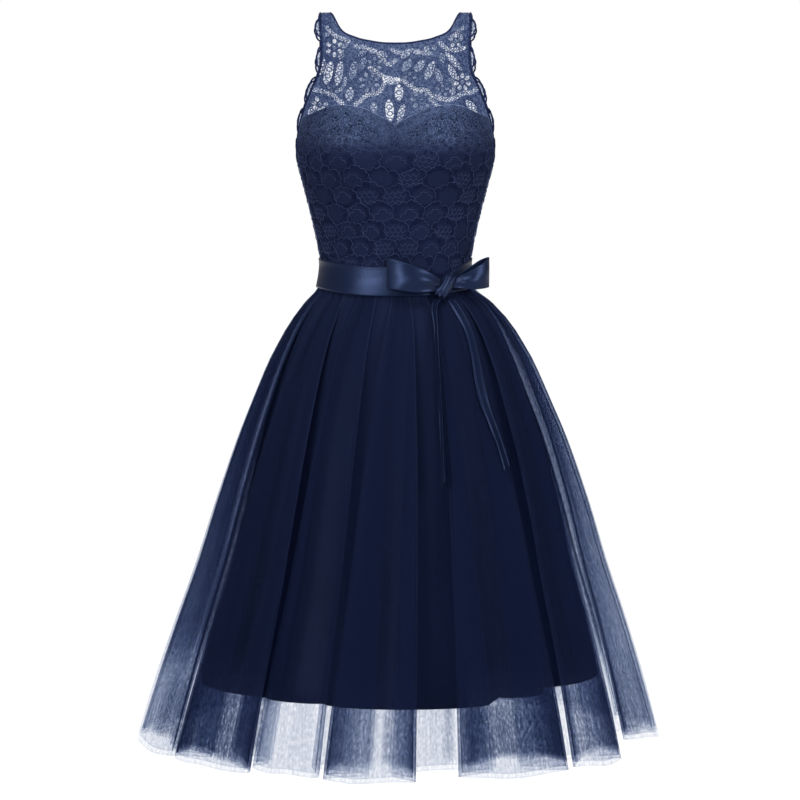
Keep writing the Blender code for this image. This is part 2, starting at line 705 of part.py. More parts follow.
def lobe_samples():
    """Hem angle, share of the full radius, and hem lift of each sample round the tulle."""
    angles, shares, lifts = [], [], []
    for i, lobe in enumerate(LOBES):
        before = LOBES[i - 1].neck_right - (360 if i == 0 else 0)
        width = lobe.right - lobe.left
        middle = (lobe.left + lobe.right) / 2
        angles += [(before + lobe.neck_left) / 2, lobe.neck_left, lobe.left, lobe.left + 0.24 * width]
        angles += [middle, lobe.right - 0.24 * width, lobe.right, lobe.neck_right]
        shares += [0.0, 0.22, 0.66, 0.96, 1.0, 0.96, 0.66, 0.22]
        lifts += [lobe.lift * share for share in (0.5, 0.9, 1.2, 1, 0.8, 0.6, 0.5, 0.5)]
    return np.radians(angles), np.array(shares), np.array(lifts)


def spread(drop):
    """How far a straight fold has turned from its waist angle to its hem angle."""
    waist, hem = SKIRT[0].across, SKIRT[-1].across
    size = skirt_size(drop)["across"]
    return np.clip((size - waist) / (hem - waist) * hem / size, 0, 1)


def even_waist_angles(count, first, last):
    """Angles that part the waist evenly by length between two hem angles."""
    fine = np.linspace(first, last, 1441)
    size = skirt_size(0.0)
    plan = np.column_stack([size["across"] * np.sin(fine), size["front"] * np.cos(fine)])
    length = np.concatenate([[0], np.cumsum(np.linalg.norm(np.diff(plan, axis=0), axis=1))])
    return np.interp(np.arange(count) / count * length[-1], length, fine)


def plan_point(angle, size, inward):
    """A point of the skirt's plan at a size row, moved in towards the body."""
    facing = np.cos(angle)
    depth = np.where(facing > 0, size["front"], size["back"])
    return np.stack([
        size["shift"] + (size["across"] - inward) * np.sin(angle),
        -(depth - inward) * facing,
    ], -1)


SHARPEST_MITRE = 0.45


def plan_offset(plan, distance):
    """A closed plan curve moved inwards by a distance, square to itself."""
    edge = np.roll(plan, -1, 0) - plan
    edge /= np.linalg.norm(edge, axis=1, keepdims=True)
    inward = np.stack([-edge[:, 1], edge[:, 0]], 1)
    before = np.roll(inward, 1, 0)
    both = inward + before
    stretch = 2 / np.maximum(np.sum(both * both, 1), SHARPEST_MITRE)
    return plan + both * (distance * stretch)[:, None]


def tulle_rows():
    """The tulle's outer surface: one closed plan curve and its heights for each row."""
    hem_angle, share, lift = lobe_samples()
    count = len(hem_angle)
    waist_angle = even_waist_angles(count, hem_angle[0], hem_angle[0] + 2 * math.pi)
    pleat = np.where(np.arange(count) % 2 == 0, -1.0, 1.0)
    top = waist_seam_height(waist_angle)
    hem = TULLE_HEM + PLY_RISE * (1 - share) + lift
    rows = []
    for drop in TULLE_DROPS:
        down = drop / TULLE_DROPS[-1]
        height = top + (hem - top) * down
        size = skirt_size(drop)
        turned = spread(drop)
        angle = waist_angle * (1 - turned) + hem_angle * turned
        inward = size["fold"] * (1 - share) + size["gather"] * pleat
        rows.append((plan_point(angle, size, inward), height))
    return rows


def skirt_wall(name_stem, rows, offsets, thickness, split, finish, shorter=0.0):
    """Front and back walls of one skirt layer, parted at the two side seams."""
    skins = []
    for extra in (0.0, thickness):
        skin = [
            np.column_stack([plan_offset(plan, offset + extra), height])
            for (plan, height), offset in zip(rows, offsets)
        ]
        if shorter:
            run = skin[-1] - skin[-2]
            skin[-1] = skin[-1] - run * (shorter / np.linalg.norm(run, axis=1))[:, None]
        skins.append(np.array(skin)[::-1])
    count = skins[0].shape[1]
    for word, first, last in (("front", 0, split), ("back", split, count)):
        picked = np.arange(first, last + 1) % count
        halves = [skin[:, picked].copy() for skin in skins]
        for half in halves:
            for end, neighbour in ((0, 1), (-1, -2)):
                run = half[:, neighbour] - half[:, end]
                half[:, end] += run * (SEAM_GAP * 0.75 / np.linalg.norm(run, axis=1))[:, None]
        faces = grid_triangles(len(rows) - 1, last - first)
        points, faces = walled(halves[0].reshape(-1, 3), halves[1].reshape(-1, 3), faces)
        new_object(f"{name_stem}_{word}", points, faces, finish)


def layer_gap(drop):
    return np.interp(drop, GAP_DROPS, TULLE_LAYER_GAP)


def add_tulle():
    """Two tulle layers that share every fold, the inner one a little shorter."""
    rows = tulle_rows()
    split = FRONT_LOBES * LOBE_SAMPLES
    skirt_wall("tulle_outer", rows, [0.0] * len(rows), TULLE_WALL, split, "tulle")
    offsets = [TULLE_WALL + layer_gap(drop) for drop in TULLE_DROPS]
    skirt_wall("tulle_inner", rows, offsets, TULLE_WALL, split, "tulle", INNER_TULLE_SHORTER)


def add_underskirt():
    """The opaque gathered underskirt, clear inside the tulle's deepest folds."""
    count = UNDERSKIRT_WAVES * WAVE_SAMPLES
    start = math.radians(-90)
    waist_angle = even_waist_angles(count, start, start + 2 * math.pi)
    hem_angle = start + 2 * math.pi * np.arange(count) / count
    wave = 0.5 - 0.5 * np.cos(2 * math.pi * np.arange(count) / WAVE_SAMPLES)
    top = waist_seam_height(waist_angle)
    rows = []
    for drop in UNDERSKIRT_DROPS:
        height = top + (UNDERSKIRT_HEM - top) * drop / UNDERSKIRT_DROPS[-1]
        size = skirt_size(drop)
        turned = spread(drop)
        angle = waist_angle * (1 - turned) + hem_angle * turned
        down = np.clip(drop / 120, 0, 1)
        clear = 2 * TULLE_WALL + layer_gap(drop) + SEAM_GAP + UNDERSKIRT_EASE * down
        inward = size["fold"] + size["gather"] + clear + UNDERSKIRT_WAVE * down * wave
        rows.append((plan_point(angle, size, inward), height))
    skirt_wall("underskirt", rows, [0.0] * len(rows), UNDERSKIRT_WALL, count // 2, "taffeta")


# Ribbon tails down the skirt: distance across, height, half width seen from the front.
TailRow = namedtuple("TailRow", "across height half_width")
LEFT_TAIL = (
    TailRow(76, -405, 5.5), TailRow(88, -426, 7.5), TailRow(103, -452, 8.0), TailRow(113, -482, 7.5),
    TailRow(119, -513, 7.0), TailRow(125, -545, 5.5), TailRow(133, -572, 5.0), TailRow(141, -603, 4.5),
    TailRow(149, -634, 2.5),
)
RIGHT_TAIL = (
    TailRow(57, -404, 4.0), TailRow(52.5, -418, 4.5), TailRow(54, -440, 3.5), TailRow(56.5, -472, 3.0),
    TailRow(59.5, -515, 3.0), TailRow(61.5, -560, 3.0), TailRow(62.5, -608, 3.0), TailRow(63.5, -655, 3.0),
)
TAIL_LEG = 21.0
TAIL_DEPTH_SHARE = 0.45


def over_skirt(across, height, out):
    """A point that stands out from the tulle's outermost folds in front."""
    angle = 0.6
    for _ in range(3):
        size = skirt_size(waist_seam_height(angle) - height)
        angle = math.asin((across - size["shift"]) / size["across"])
    plan = plan_point(np.array(angle), size, -out)
    return np.array([across + out * math.sin(angle), plan[1], height])


def add_tail(name, rows, slant, clearance):
    """A tail folded lengthwise: a ridge to the front and two legs back to the skirt."""
    skins = []
    for shift in (0.0, RIBBON_WALL):
        skin = []
        for row in rows:
            depth = math.sqrt(TAIL_LEG**2 - row.half_width**2)
            for side, out, drop in ((-1, 0, -slant), (0, depth, 0), (1, 0, slant)):
                across = row.across + side * (row.half_width - shift * 0.8)
                stand_off = clearance + out * TAIL_DEPTH_SHARE - shift * (side == 0)
                point = over_skirt(across, row.height, stand_off)
                skin.append(point + (0, 0, drop * (row is rows[-1])))
        skins.append(np.array(skin))
    faces = grid_triangles(len(rows) - 1, 2)
    points, faces = walled(skins[0], skins[1], faces)
    new_object(name, points, faces, "satin")


# ---------------------------------------------------------------- zip
ZIP_TAPE_WIDTH = 24.0
ZIP_TAPE_OUT = -3.5
ZIP_TAPE_WALL = 1.0
SLIDER_HEIGHT = -233.0
SLIDER_SIZE = (5.0, 2.0, 9.0)
BRIDGE_WIDTH = 1.0
PULL_SIZE = (4.4, 0.8, 15.0)
PULL_EYE = (1.8, 3.6)
PULL_BAR = 1.0


def add_zip_tape():
    """The tape of the concealed zip, inside the lining along the centre back."""
    centre_reaches = back_charts()[0][:, 0, 1]
    reaches = np.clip(centre_reaches, centre_reaches[-1] + 2, centre_reaches[0] - 2)
    widest = np.interp(reaches, PROFILE[:, 4], PROFILE[:, 1])
    turns = np.arcsin(ZIP_TAPE_WIDTH / 2 / widest)
    chart = np.stack([np.column_stack([math.pi + side * turns, reaches]) for side in (1, 0, -1)], 1)
    faces = grid_triangles(len(reaches) - 1, 2)
    body_wall("zip_tape", chart.reshape(-1, 2), faces, ZIP_TAPE_OUT, ZIP_TAPE_WALL, "zip")


def slider_origin():
    """Where the slider's inner face stands, just off the lace at the centre back."""
    heights = SLIDER_HEIGHT + np.array([-1, 1]) * SLIDER_SIZE[2] / 2
    surface = body_points(np.column_stack([[math.pi] * 2, reach_at(heights)]), 0)
    return np.array([0.0, surface[:, 1].max() + SEAM_GAP, SLIDER_HEIGHT])


def prism_along_x(profile, half_width, shift=0.0):
    """A closed prism of a (y, z) outline, from -half_width to half_width along X."""
    count = len(profile)
    points = [(x + shift, y, z) for x in (-half_width, half_width) for y, z in profile]
    faces = [tuple(range(count)), tuple(range(count, 2 * count))]
    faces += [(i, (i + 1) % count, count + (i + 1) % count, count + i) for i in range(count)]
    return points, faces


def box(size, centre):
    """A closed box of the given size about a centre."""
    half = np.array(size) / 2
    outline = [(-half[1], -half[2]), (half[1], -half[2]), (half[1], half[2]), (-half[1], half[2])]
    points, faces = prism_along_x(outline, half[0])
    return np.array(points) + centre, faces


def add_cutter(name, points, faces):
    cutter = new_object(name, points, faces, "zip")
    cutter.hide_render = True
    cutter.display_type = "WIRE"
    return cutter


def add_zip_slider_and_pull():
    """The slider with its bridge, and the pull tab whose bar turns under the bridge."""
    origin = slider_origin()
    body_top = SLIDER_SIZE[1]
    under, over, leg, foot = body_top + 1.9, body_top + 2.9, 3.2, 2.3
    bridge = [
        (body_top - 0.4, -leg), (over, -leg), (over, leg), (body_top - 0.4, leg),
        (body_top - 0.4, foot), (under, foot), (under, -foot), (body_top - 0.4, -foot),
    ]
    slider = new_object("zip_slider", *box(SLIDER_SIZE, origin + (0, body_top / 2, 0)), "zip")
    points, faces = prism_along_x(bridge, BRIDGE_WIDTH / 2)
    joined = slider.modifiers.new("Bridge", "BOOLEAN")
    joined.operation = "UNION"
    joined.object = add_cutter("bridge_tool", np.array(points) + origin, faces)

    hinge = bpy.data.objects.new("zip_pull_hinge", None)
    axis = origin + (0, (body_top + under) / 2, 0)
    hinge.location = axis * MM
    bpy.context.scene.collection.objects.link(hinge)
    bar_half = PULL_BAR / 2
    plate = box(PULL_SIZE, (0, 0, bar_half - PULL_SIZE[2] / 2))
    pull = new_object("zip_pull", *plate, "zip")
    pull.parent = hinge
    eye = box((PULL_EYE[0], 4, PULL_EYE[1]), (0, 0, -bar_half - PULL_EYE[1] / 2))
    eye_tool = add_cutter("pull_eye_tool", *eye)
    eye_tool.parent = hinge
    cut = pull.modifiers.new("Eye", "BOOLEAN")
    cut.operation = "DIFFERENCE"
    cut.object = eye_tool


def main():
    for old in list(bpy.data.objects):
        bpy.data.objects.remove(old, do_unlink=True)
    add_bodice()
    add_neck_binding()
    add_armhole_trim(1, "armhole_trim_left")
    add_armhole_trim(-1, "armhole_trim_right")
    add_sash()
    add_knot()
    for loop in BOW_LOOPS:
        add_loop(loop)
    add_tail("bow_tail_right", RIGHT_TAIL, 5.0, 3.2)
    add_tail("bow_tail_left", LEFT_TAIL, 7.0, 2.5)
    add_underskirt()
    add_tulle()
    add_zip_tape()
    add_zip_slider_and_pull()


main()
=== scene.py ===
"""The finished cocktail dress: sheer lace yoke, lined lace bodice, ribbon sash and tulle skirt.

Every finished piece lies where the fixed frame's solid lies and stands for it. The origin
is midway between the shoulder tops, the front faces -Y, +Z is up, and left is +X. Sizes in
the tables are in millimetres, and each mesh is turned into metres as it is made.
"""

import logging
import math
from dataclasses import dataclass, replace
from enum import Enum
from functools import cached_property
from typing import Any, Sequence

import bmesh
import bpy
import numpy as np
from mathutils import Matrix, Vector


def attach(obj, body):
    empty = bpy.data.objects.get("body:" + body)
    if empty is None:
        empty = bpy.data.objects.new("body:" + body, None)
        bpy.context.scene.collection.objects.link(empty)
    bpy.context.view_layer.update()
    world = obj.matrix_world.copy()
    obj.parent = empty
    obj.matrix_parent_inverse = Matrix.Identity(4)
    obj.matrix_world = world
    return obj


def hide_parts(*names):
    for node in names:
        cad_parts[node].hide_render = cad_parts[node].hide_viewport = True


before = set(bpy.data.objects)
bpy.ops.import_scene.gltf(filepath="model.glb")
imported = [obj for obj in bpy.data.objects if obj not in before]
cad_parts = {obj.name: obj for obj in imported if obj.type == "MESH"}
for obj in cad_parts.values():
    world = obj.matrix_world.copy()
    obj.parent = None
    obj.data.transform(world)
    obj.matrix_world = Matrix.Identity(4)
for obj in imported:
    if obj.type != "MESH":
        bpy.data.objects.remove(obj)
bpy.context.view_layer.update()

Array = np.ndarray
Table = tuple[tuple[float, ...], ...]
Material, Object = bpy.types.Material, bpy.types.Object
Tree, Node, Socket = bpy.types.NodeTree, bpy.types.Node, bpy.types.NodeSocket
LOG = logging.getLogger("dress")
MM = 0.001
BODY = "dress"
# The width of the ribbon of the sash and the bow, in millimetres.
RIBBON = 42.0


# ---------- small helpers
def linear(hex_colour: str) -> tuple[float, float, float, float]:
    """Turn an sRGB hex colour into a linear one.

    Args:
        hex_colour: six hex digits, such as "1A213C".

    Returns:
        Red, green, blue and an alpha of 1, in linear light.
    """
    parts = [int(hex_colour[i : i + 2], 16) / 255 for i in (0, 2, 4)]
    light = [c / 12.92 if c <= 0.04045 else ((c + 0.055) / 1.055) ** 2.4 for c in parts]
    return (light[0], light[1], light[2], 1.0)


def feed(node: Node, inputs: dict[Any, Any]) -> None:
    """Set a node's inputs, or link them to what feeds them.

    Args:
        node: the node.
        inputs: for each input, by name or index, its value, or the socket or node that feeds it.
    """
    for key, given in inputs.items():
        source = given.outputs[0] if isinstance(given, Node) else given
        if isinstance(source, Socket):
            node.id_data.links.new(source, node.inputs[key])
        else:
            node.inputs[key].default_value = source


def add_node(tree: Tree, kind: str, inputs: dict[Any, Any] | None = None, **settings: Any) -> Node:
    """Add one node with its settings, its values and its incoming links.

    Args:
        tree: the node tree that gets the node.
        kind: Blender's type name of the node.
        inputs: what its inputs get, as feed takes it.
        settings: the node's own properties.

    Returns:
        The new node.
    """
    node = tree.nodes.new(kind)
    for name, value in settings.items():
        setattr(node, name, value)
    feed(node, inputs or {})
    return node


def spline(near: Sequence[Array], t: Array) -> Array:
    """Read a smooth span between the middle two of four points.

    Args:
        near: the four points.
        t: shares of the span.

    Returns:
        The points at those shares.
    """
    p0, p1, p2, p3 = near
    bend = 2 * p0 - 5 * p1 + 4 * p2 - p3
    twist = -p0 + 3 * p1 - 3 * p2 + p3
    return 0.5 * (2 * p1 + (p2 - p0) * t + bend * t**2 + twist * t**3)


def catmull_rom(points: Any, steps: int = 40) -> Array:
    """Draw a smooth curve through points.

    Args:
        points: the points, one a row.
        steps: how many steps each span gets.

    Returns:
        The curve's points.
    """
    knots = np.asarray(points, float)
    padded = np.vstack([2 * knots[0] - knots[1], knots, 2 * knots[-1] - knots[-2]])
    t = np.linspace(0, 1, steps, endpoint=False)[:, None]
    spans = [spline(near, t) for near in zip(padded, padded[1:], padded[2:], padded[3:])]
    return np.vstack([*spans, knots[-1]])


def round_trip(values: Array, steps: int) -> Array:
    """Read a closed run of values smoothly between its samples.

    Args:
        values: one value for each sample; the run closes on itself.
        steps: how many values each sample becomes.

    Returns:
        steps times as many values.
    """
    t = np.linspace(0, 1, steps, endpoint=False)[None]
    return spline([np.roll(values, shift)[:, None] for shift in (1, 0, -1, -2)], t).ravel()


def run_length(points: Array) -> Array:
    """Return the length run at each point of a line."""
    steps = np.linalg.norm(np.diff(points, axis=0), axis=1)
    return np.concatenate([[0], np.cumsum(steps)])


def along(line: Array, count: int, scale: tuple[float, float]) -> Array:
    """Part a line evenly by length.

    Args:
        line: the line's points.
        count: how many points to read.
        scale: how the two axes count in the length.

    Returns:
        That many points, from end to end.
    """
    length = run_length(line * scale)
    shares = np.linspace(0, 1, count)
    return np.stack([np.interp(shares, length / length[-1], axis) for axis in line.T], 1)


def unit(vectors: Array) -> Array:
    """Bring vectors to a length of 1."""
    return vectors / np.linalg.norm(vectors, axis=-1, keepdims=True)


def pairs(first: Any, second: Any) -> Array:
    """Join two sets of numbers, such as angles and reaches, into pairs."""
    return np.stack(np.broadcast_arrays(first, second), -1)


def smooth_step(low: Any, high: Any, value: Any) -> Array:
    """Rise smoothly from 0 at low to 1 at high."""
    t = np.clip((value - low) / (high - low), 0, 1)
    return t * t * (3 - 2 * t)


def coons(bottom: Array, top: Array, left: Array, right: Array) -> Array:
    """Fill a grid of points between four edges.

    Args:
        bottom: the points of the lower edge, left to right.
        top: as many points of the upper edge.
        left: the points of the left edge, upwards.
        right: as many points of the right edge.

    Returns:
        The grid, row by row upwards.
    """
    u = np.linspace(0, 1, len(bottom))[None, :, None]
    v = np.linspace(0, 1, len(left))[:, None, None]
    ruled = (1 - v) * bottom[None] + v * top[None] + (1 - u) * left[:, None] + u * right[:, None]
    corners = (1 - v) * ((1 - u) * bottom[0] + u * bottom[-1]) + v * ((1 - u) * top[0] + u * top[-1])
    return ruled - corners


def mirrored(edge: Array) -> Array:
    """Make the left half of an edge whole, from right to left."""
    return np.vstack([edge[:0:-1] * (-1, *[1] * (edge.shape[1] - 1)), edge])


# ---------- mesh making
def place_object(name: str, data: Any) -> Object:
    """Put a new object with some data at the scene's origin.

    Args:
        name: the object's name.
        data: its mesh, light or camera.

    Returns:
        The object.
    """
    made = bpy.data.objects.new(name, data)
    bpy.context.scene.collection.objects.link(made)
    return made


def grid_object(
    name: str, grid: Array, material: Material, uv: Array,
    marks: dict[str, Array] | None = None, flip: bool = False,
) -> Object:
    """Make one smooth sheet from a grid of points in millimetres.

    Args:
        name: the object's name.
        grid: rows of points.
        material: its finish.
        uv: the flat place of each point in millimetres, kept in tens of millimetres.
        marks: named numbers for each point, which the finish reads.
        flip: whether its faces are turned over.

    Returns:
        The sheet, with its place in its mesh.
    """
    rows, columns = grid.shape[:2]
    numbers = np.arange(rows * columns).reshape(rows, columns)
    corners = [numbers[:-1, :-1], numbers[:-1, 1:], numbers[1:, 1:], numbers[1:, :-1]]
    faces = np.stack(corners[::-1] if flip else corners, -1).reshape(-1, 4)
    mesh = bpy.data.meshes.new(name)
    mesh.from_pydata((grid.reshape(-1, 3) * MM).tolist(), [], faces.tolist())
    mesh.materials.append(material)
    corner = np.empty(len(mesh.loops), np.int32)
    mesh.loops.foreach_get("vertex_index", corner)
    places = (uv.reshape(-1, 2)[corner] / 10).astype(np.float32)
    mesh.uv_layers.new(name="cloth").data.foreach_set("uv", places.ravel())
    for label, values in (marks or {}).items():
        mark = mesh.attributes.new(label, "FLOAT", "POINT")
        mark.data.foreach_set("value", np.asarray(values, np.float32).ravel())
    mesh.shade_smooth()
    return place_object(name, mesh)


def thicken(sheet: Object, thickness: float) -> None:
    """Give a sheet a thickness, half to each side.

    Args:
        sheet: the sheet.
        thickness: its thickness in millimetres.
    """
    wall = sheet.modifiers.new("Cloth thickness", "SOLIDIFY")
    wall.thickness = thickness * MM
    wall.offset = 0.0
    wall.use_even_offset = True
    wall.thickness_clamp = 1.5


def close_seam(sheet: Object, within: float) -> None:
    """Merge points of a closed sheet that lie on each other, and turn its faces outwards.

    Args:
        sheet: the sheet.
        within: how far apart such points are at the most, in millimetres.
    """
    form = bmesh.new()
    form.from_mesh(sheet.data)
    bmesh.ops.remove_doubles(form, verts=form.verts, dist=within * MM)
    bmesh.ops.recalc_face_normals(form, faces=form.faces)
    form.to_mesh(sheet.data)
    form.free()


def wire_object(name: str, lines: Sequence[Array]) -> Object:
    """Make a mesh of bare edges from lines of points in millimetres.

    Args:
        name: the object's name.
        lines: the lines, each of which closes where its ends meet.

    Returns:
        The object, which a node tree then turns into cords or stitches.
    """
    points, edges = [], []
    for line in lines:
        closed = len(line) > 3 and np.allclose(line[0], line[-1], atol=0.02)
        used = line[:-1] if closed else line
        first, count = len(points), len(used)
        points += (used * MM).tolist()
        edges += [(first + i, first + i + 1) for i in range(count - 1)]
        if closed:
            edges.append((first + count - 1, first))
    mesh = bpy.data.meshes.new(name)
    mesh.from_pydata(points, edges, [])
    return place_object(name, mesh)


# ---------- finishes
@dataclass(frozen=True)
class Finish:
    """What every cloth finish has: its name, its colour and how it takes the light."""

    name: str
    colour: str
    roughness: float = 0.8
    specular: float = 0.03
    # Powers of the red light's share that make the shares of green and of blue.
    green_power: float = 0.88
    blue_power: float = 0.65

    def start(self) -> tuple[Material, Tree, Node]:
        """Make the material with its shader's fixed values set.

        Returns:
            The material, its node tree and its Principled shader.
        """
        material = bpy.data.materials.new(self.name)
        material.use_nodes = True
        shader = material.node_tree.nodes["Principled BSDF"]
        material.diffuse_color = linear(self.colour)
        fixed = {"Base Color": linear(self.colour), "Roughness": self.roughness}
        feed(shader, {**fixed, "Specular IOR Level": self.specular})
        return material, material.node_tree, shader

    def threads(self, tree: Tree, cell: float, share: float, slant: float = 1.0) -> Node:
        """Draw two crossing sets of threads on the cloth's own flat place.

        Args:
            tree: the material's node tree.
            cell: the spacing of the threads in millimetres.
            share: the share of the spacing that a thread covers.
            slant: how steeply the two sets cross; 0 lays them square to the cloth.

        Returns:
            A node that is 1 on a thread and 0 between threads.
        """
        place = add_node(tree, "ShaderNodeUVMap", uv_map="cloth")
        parts = add_node(tree, "ShaderNodeSeparateXYZ", {0: place})
        sets = []
        for across, down in ((1.0, slant), (-slant, 1.0)):
            first = add_node(tree, "ShaderNodeMath", {0: parts, 1: across * 10 / cell}, operation="MULTIPLY")
            both = {0: parts.outputs[1], 1: down * 10 / cell, 2: first}
            both = add_node(tree, "ShaderNodeMath", both, operation="MULTIPLY_ADD")
            wave = add_node(tree, "ShaderNodeMath", {0: both, 1: 0.5}, operation="PINGPONG")
            line = {0: wave, 1: share * 0.9, 2: share * 0.25}
            sets.append(add_node(tree, "ShaderNodeMapRange", line, interpolation_type="SMOOTHSTEP"))
        return add_node(tree, "ShaderNodeMath", {0: sets[0], 1: sets[1]}, operation="MAXIMUM")

    def see_through(self, tree: Tree, shader: Node, clear: Any) -> None:
        """Let light through the cloth. Dyed fibres pass more blue than red, so it is tinted.

        Args:
            tree: the material's node tree.
            shader: the cloth's own shader.
            clear: the share of red light that passes: a node, or a number that holds all over.
        """
        powers = (1 - self.blue_power, self.green_power - self.blue_power, self.blue_power)
        if isinstance(clear, float):
            red, green, blue = (clear**power for power in powers)
            tint = (red, green, 1.0, 1.0)
        else:
            red, green, blue = (
                add_node(tree, "ShaderNodeMath", {0: clear, 1: power}, operation="POWER") for power in powers
            )
            tint = add_node(tree, "ShaderNodeCombineColor", {0: red, 1: green, 2: 1.0})
        passing = add_node(tree, "ShaderNodeBsdfTransparent", {0: tint})
        shown = add_node(tree, "ShaderNodeMixShader", {0: blue, 1: shader, 2: passing})
        feed(tree.nodes["Material Output"], {"Surface": shown})


@dataclass(frozen=True)
class NetFinish(Finish):
    """Soft nylon tulle, knitted as a fine net: pale where one ply hangs, dark where plies gather.

    The real cells are about 1.2 mm across. They are drawn at the given cell so that they show.
    """

    cell: float = 2.3
    thread_share: float = 0.12
    veil: float = 0.05
    thread_cover: float = 0.25
    # Long creases, broad ones and the crinkles between them: their scale, least and greatest cover.
    creases: tuple[tuple[tuple[float, float, float], float, float], ...] = (
        ((2.4, 0.03, 1.0), 0.7, 1.35), ((0.55, 0.04, 1.0), 0.82, 1.2), ((3.6, 1.5, 1.0), 0.3, 1.8),
    )

    def build(self) -> Material:
        """Make the net, whose cover grows with the plies that lie on each other.

        Returns:
            The material.
        """
        material, tree, shader = self.start()
        net = self.threads(tree, self.cell, self.thread_share)
        cloth = add_node(tree, "ShaderNodeUVMap", uv_map="cloth")
        uneven = None
        for scale, low, high in self.creases:
            stretched = add_node(tree, "ShaderNodeMapping", {0: cloth, 3: scale})
            grain = {0: stretched, "Scale": 1.0, "Detail": 4.0, "Roughness": 0.65, "Distortion": 0.3}
            crease = add_node(tree, "ShaderNodeTexNoise", grain)
            spread = add_node(tree, "ShaderNodeMapRange", {0: crease, 1: 0.32, 2: 0.68, 3: low, 4: high})
            uneven = spread if uneven is None else add_node(
                tree, "ShaderNodeMath", {0: uneven, 1: spread}, operation="MULTIPLY"
            )
        cover = add_node(
            tree, "ShaderNodeMath", {0: net, 1: self.thread_cover, 2: self.veil}, operation="MULTIPLY_ADD"
        )
        uncovered = add_node(tree, "ShaderNodeMath", {0: 1.0, 1: cover}, operation="SUBTRACT")
        plies = add_node(tree, "ShaderNodeAttribute", attribute_name="plies")
        times = add_node(tree, "ShaderNodeMath", {0: plies.outputs["Fac"], 1: uneven}, operation="MULTIPLY")
        clear = add_node(tree, "ShaderNodeMath", {0: uncovered, 1: times}, operation="POWER")
        self.see_through(tree, shader, clear)
        material.surface_render_method = "DITHERED"
        return material


@dataclass(frozen=True)
class LaceFinish(Finish):
    """Corded nylon lace: a close knitted cloth with nets and holes where its pattern opens."""

    cell: float = 2.0
    thread_share: float = 0.16
    cover: float = 0.93
    shade: str = "10162F"
    # The paler colour mixed in where the pale mark says: partly the lace's own tone over the cups, partly
    # painted light on the bust's upper slope.
    light: str = "495674"
    stitch: float = 2.5
    hole: float = 1.55

    def build(self) -> Material:
        """Make the lace, which opens where the mark named open says so and lightens where pale does.

        Returns:
            The material.
        """
        material, tree, shader = self.start()
        net = self.threads(tree, self.cell, self.thread_share, 0.6)
        opened = add_node(tree, "ShaderNodeAttribute", attribute_name="open")
        shut = add_node(tree, "ShaderNodeMath", {0: 1.0, 1: opened.outputs["Fac"]}, operation="SUBTRACT")
        cloth = add_node(tree, "ShaderNodeMath", {0: shut, 1: self.cover}, operation="MULTIPLY")
        half = add_node(tree, "ShaderNodeMath", {0: shut, 1: opened.outputs["Fac"]}, operation="MULTIPLY")
        mesh = add_node(tree, "ShaderNodeMath", {0: half, 1: net}, operation="MULTIPLY")
        solid = add_node(
            tree, "ShaderNodeMath", {0: mesh, 1: 1.2, 2: cloth}, operation="MULTIPLY_ADD", use_clamp=True
        )
        clear = add_node(tree, "ShaderNodeMath", {0: 1.0, 1: solid}, operation="SUBTRACT", use_clamp=True)
        place = add_node(tree, "ShaderNodeUVMap", uv_map="cloth")
        cells = add_node(tree, "ShaderNodeTexVoronoi", {0: place, "Scale": 10 / self.stitch}, feature="F1")
        near = cells.outputs["Distance"]
        stitches = add_node(tree, "ShaderNodeMapRange", {0: near, 1: 0.1, 2: 0.75, 3: 0.1, 4: self.hole})
        passing = add_node(
            tree, "ShaderNodeMath", {0: clear, 1: stitches}, operation="MULTIPLY", use_clamp=True
        )
        self.see_through(tree, shader, passing)
        tone = add_node(
            tree, "ShaderNodeMix", {0: near, 6: linear(self.colour), 7: linear(self.shade)}, data_type="RGBA"
        )
        # The pale mark lightens the cups: partly their paler lace, partly painted light where the bust's
        # upper slope faces the lamps.
        pale = add_node(tree, "ShaderNodeAttribute", attribute_name="pale")
        between = add_node(
            tree, "ShaderNodeMath", {0: pale.outputs["Fac"], 1: 0.42, 2: 0.1}, operation="MULTIPLY_ADD"
        )
        speckle = add_node(
            tree, "ShaderNodeMapRange", {0: near, 1: 0.4, 2: 0.85, 3: pale.outputs["Fac"], 4: between}
        )
        lit = add_node(
            tree, "ShaderNodeMix", {0: speckle, 6: tone.outputs[2], 7: linear(self.light)}, data_type="RGBA"
        )
        relief = {"Height": near, "Strength": 0.35, "Distance": 0.0004}
        bump = add_node(tree, "ShaderNodeBump", relief, invert=True)
        feed(shader, {"Base Color": lit.outputs[2], "Normal": bump})
        material.surface_render_method = "DITHERED"
        return material


@dataclass(frozen=True)
class SatinFinish(Finish):
    """Double-faced polyester satin ribbon: long floating yarns that shine along soft folds."""

    rib: float = 1.1
    anisotropy: float = 0.3
    shine: str = "8FA8E8"

    def build(self) -> Material:
        """Make the satin, with its fine cross ribs and an uneven gloss.

        Returns:
            The material.
        """
        material, tree, shader = self.start()
        feed(shader, {"Anisotropic": self.anisotropy, "Specular Tint": linear(self.shine)})
        place = add_node(tree, "ShaderNodeUVMap", uv_map="cloth")
        ribs = add_node(
            tree, "ShaderNodeTexWave", {0: place, "Scale": 10 / self.rib / math.tau, "Distortion": 0.4}
        )
        blotches = add_node(tree, "ShaderNodeTexNoise", {0: place, "Scale": 0.5, "Detail": 2.0})
        low, high = self.roughness - 0.05, self.roughness + 0.07
        gloss = add_node(tree, "ShaderNodeMapRange", {0: blotches, 3: low, 4: high})
        relief = {"Height": ribs.outputs["Fac"], "Strength": 0.12, "Distance": 0.0002}
        feed(shader, {"Roughness": gloss, "Normal": add_node(tree, "ShaderNodeBump", relief)})
        return material


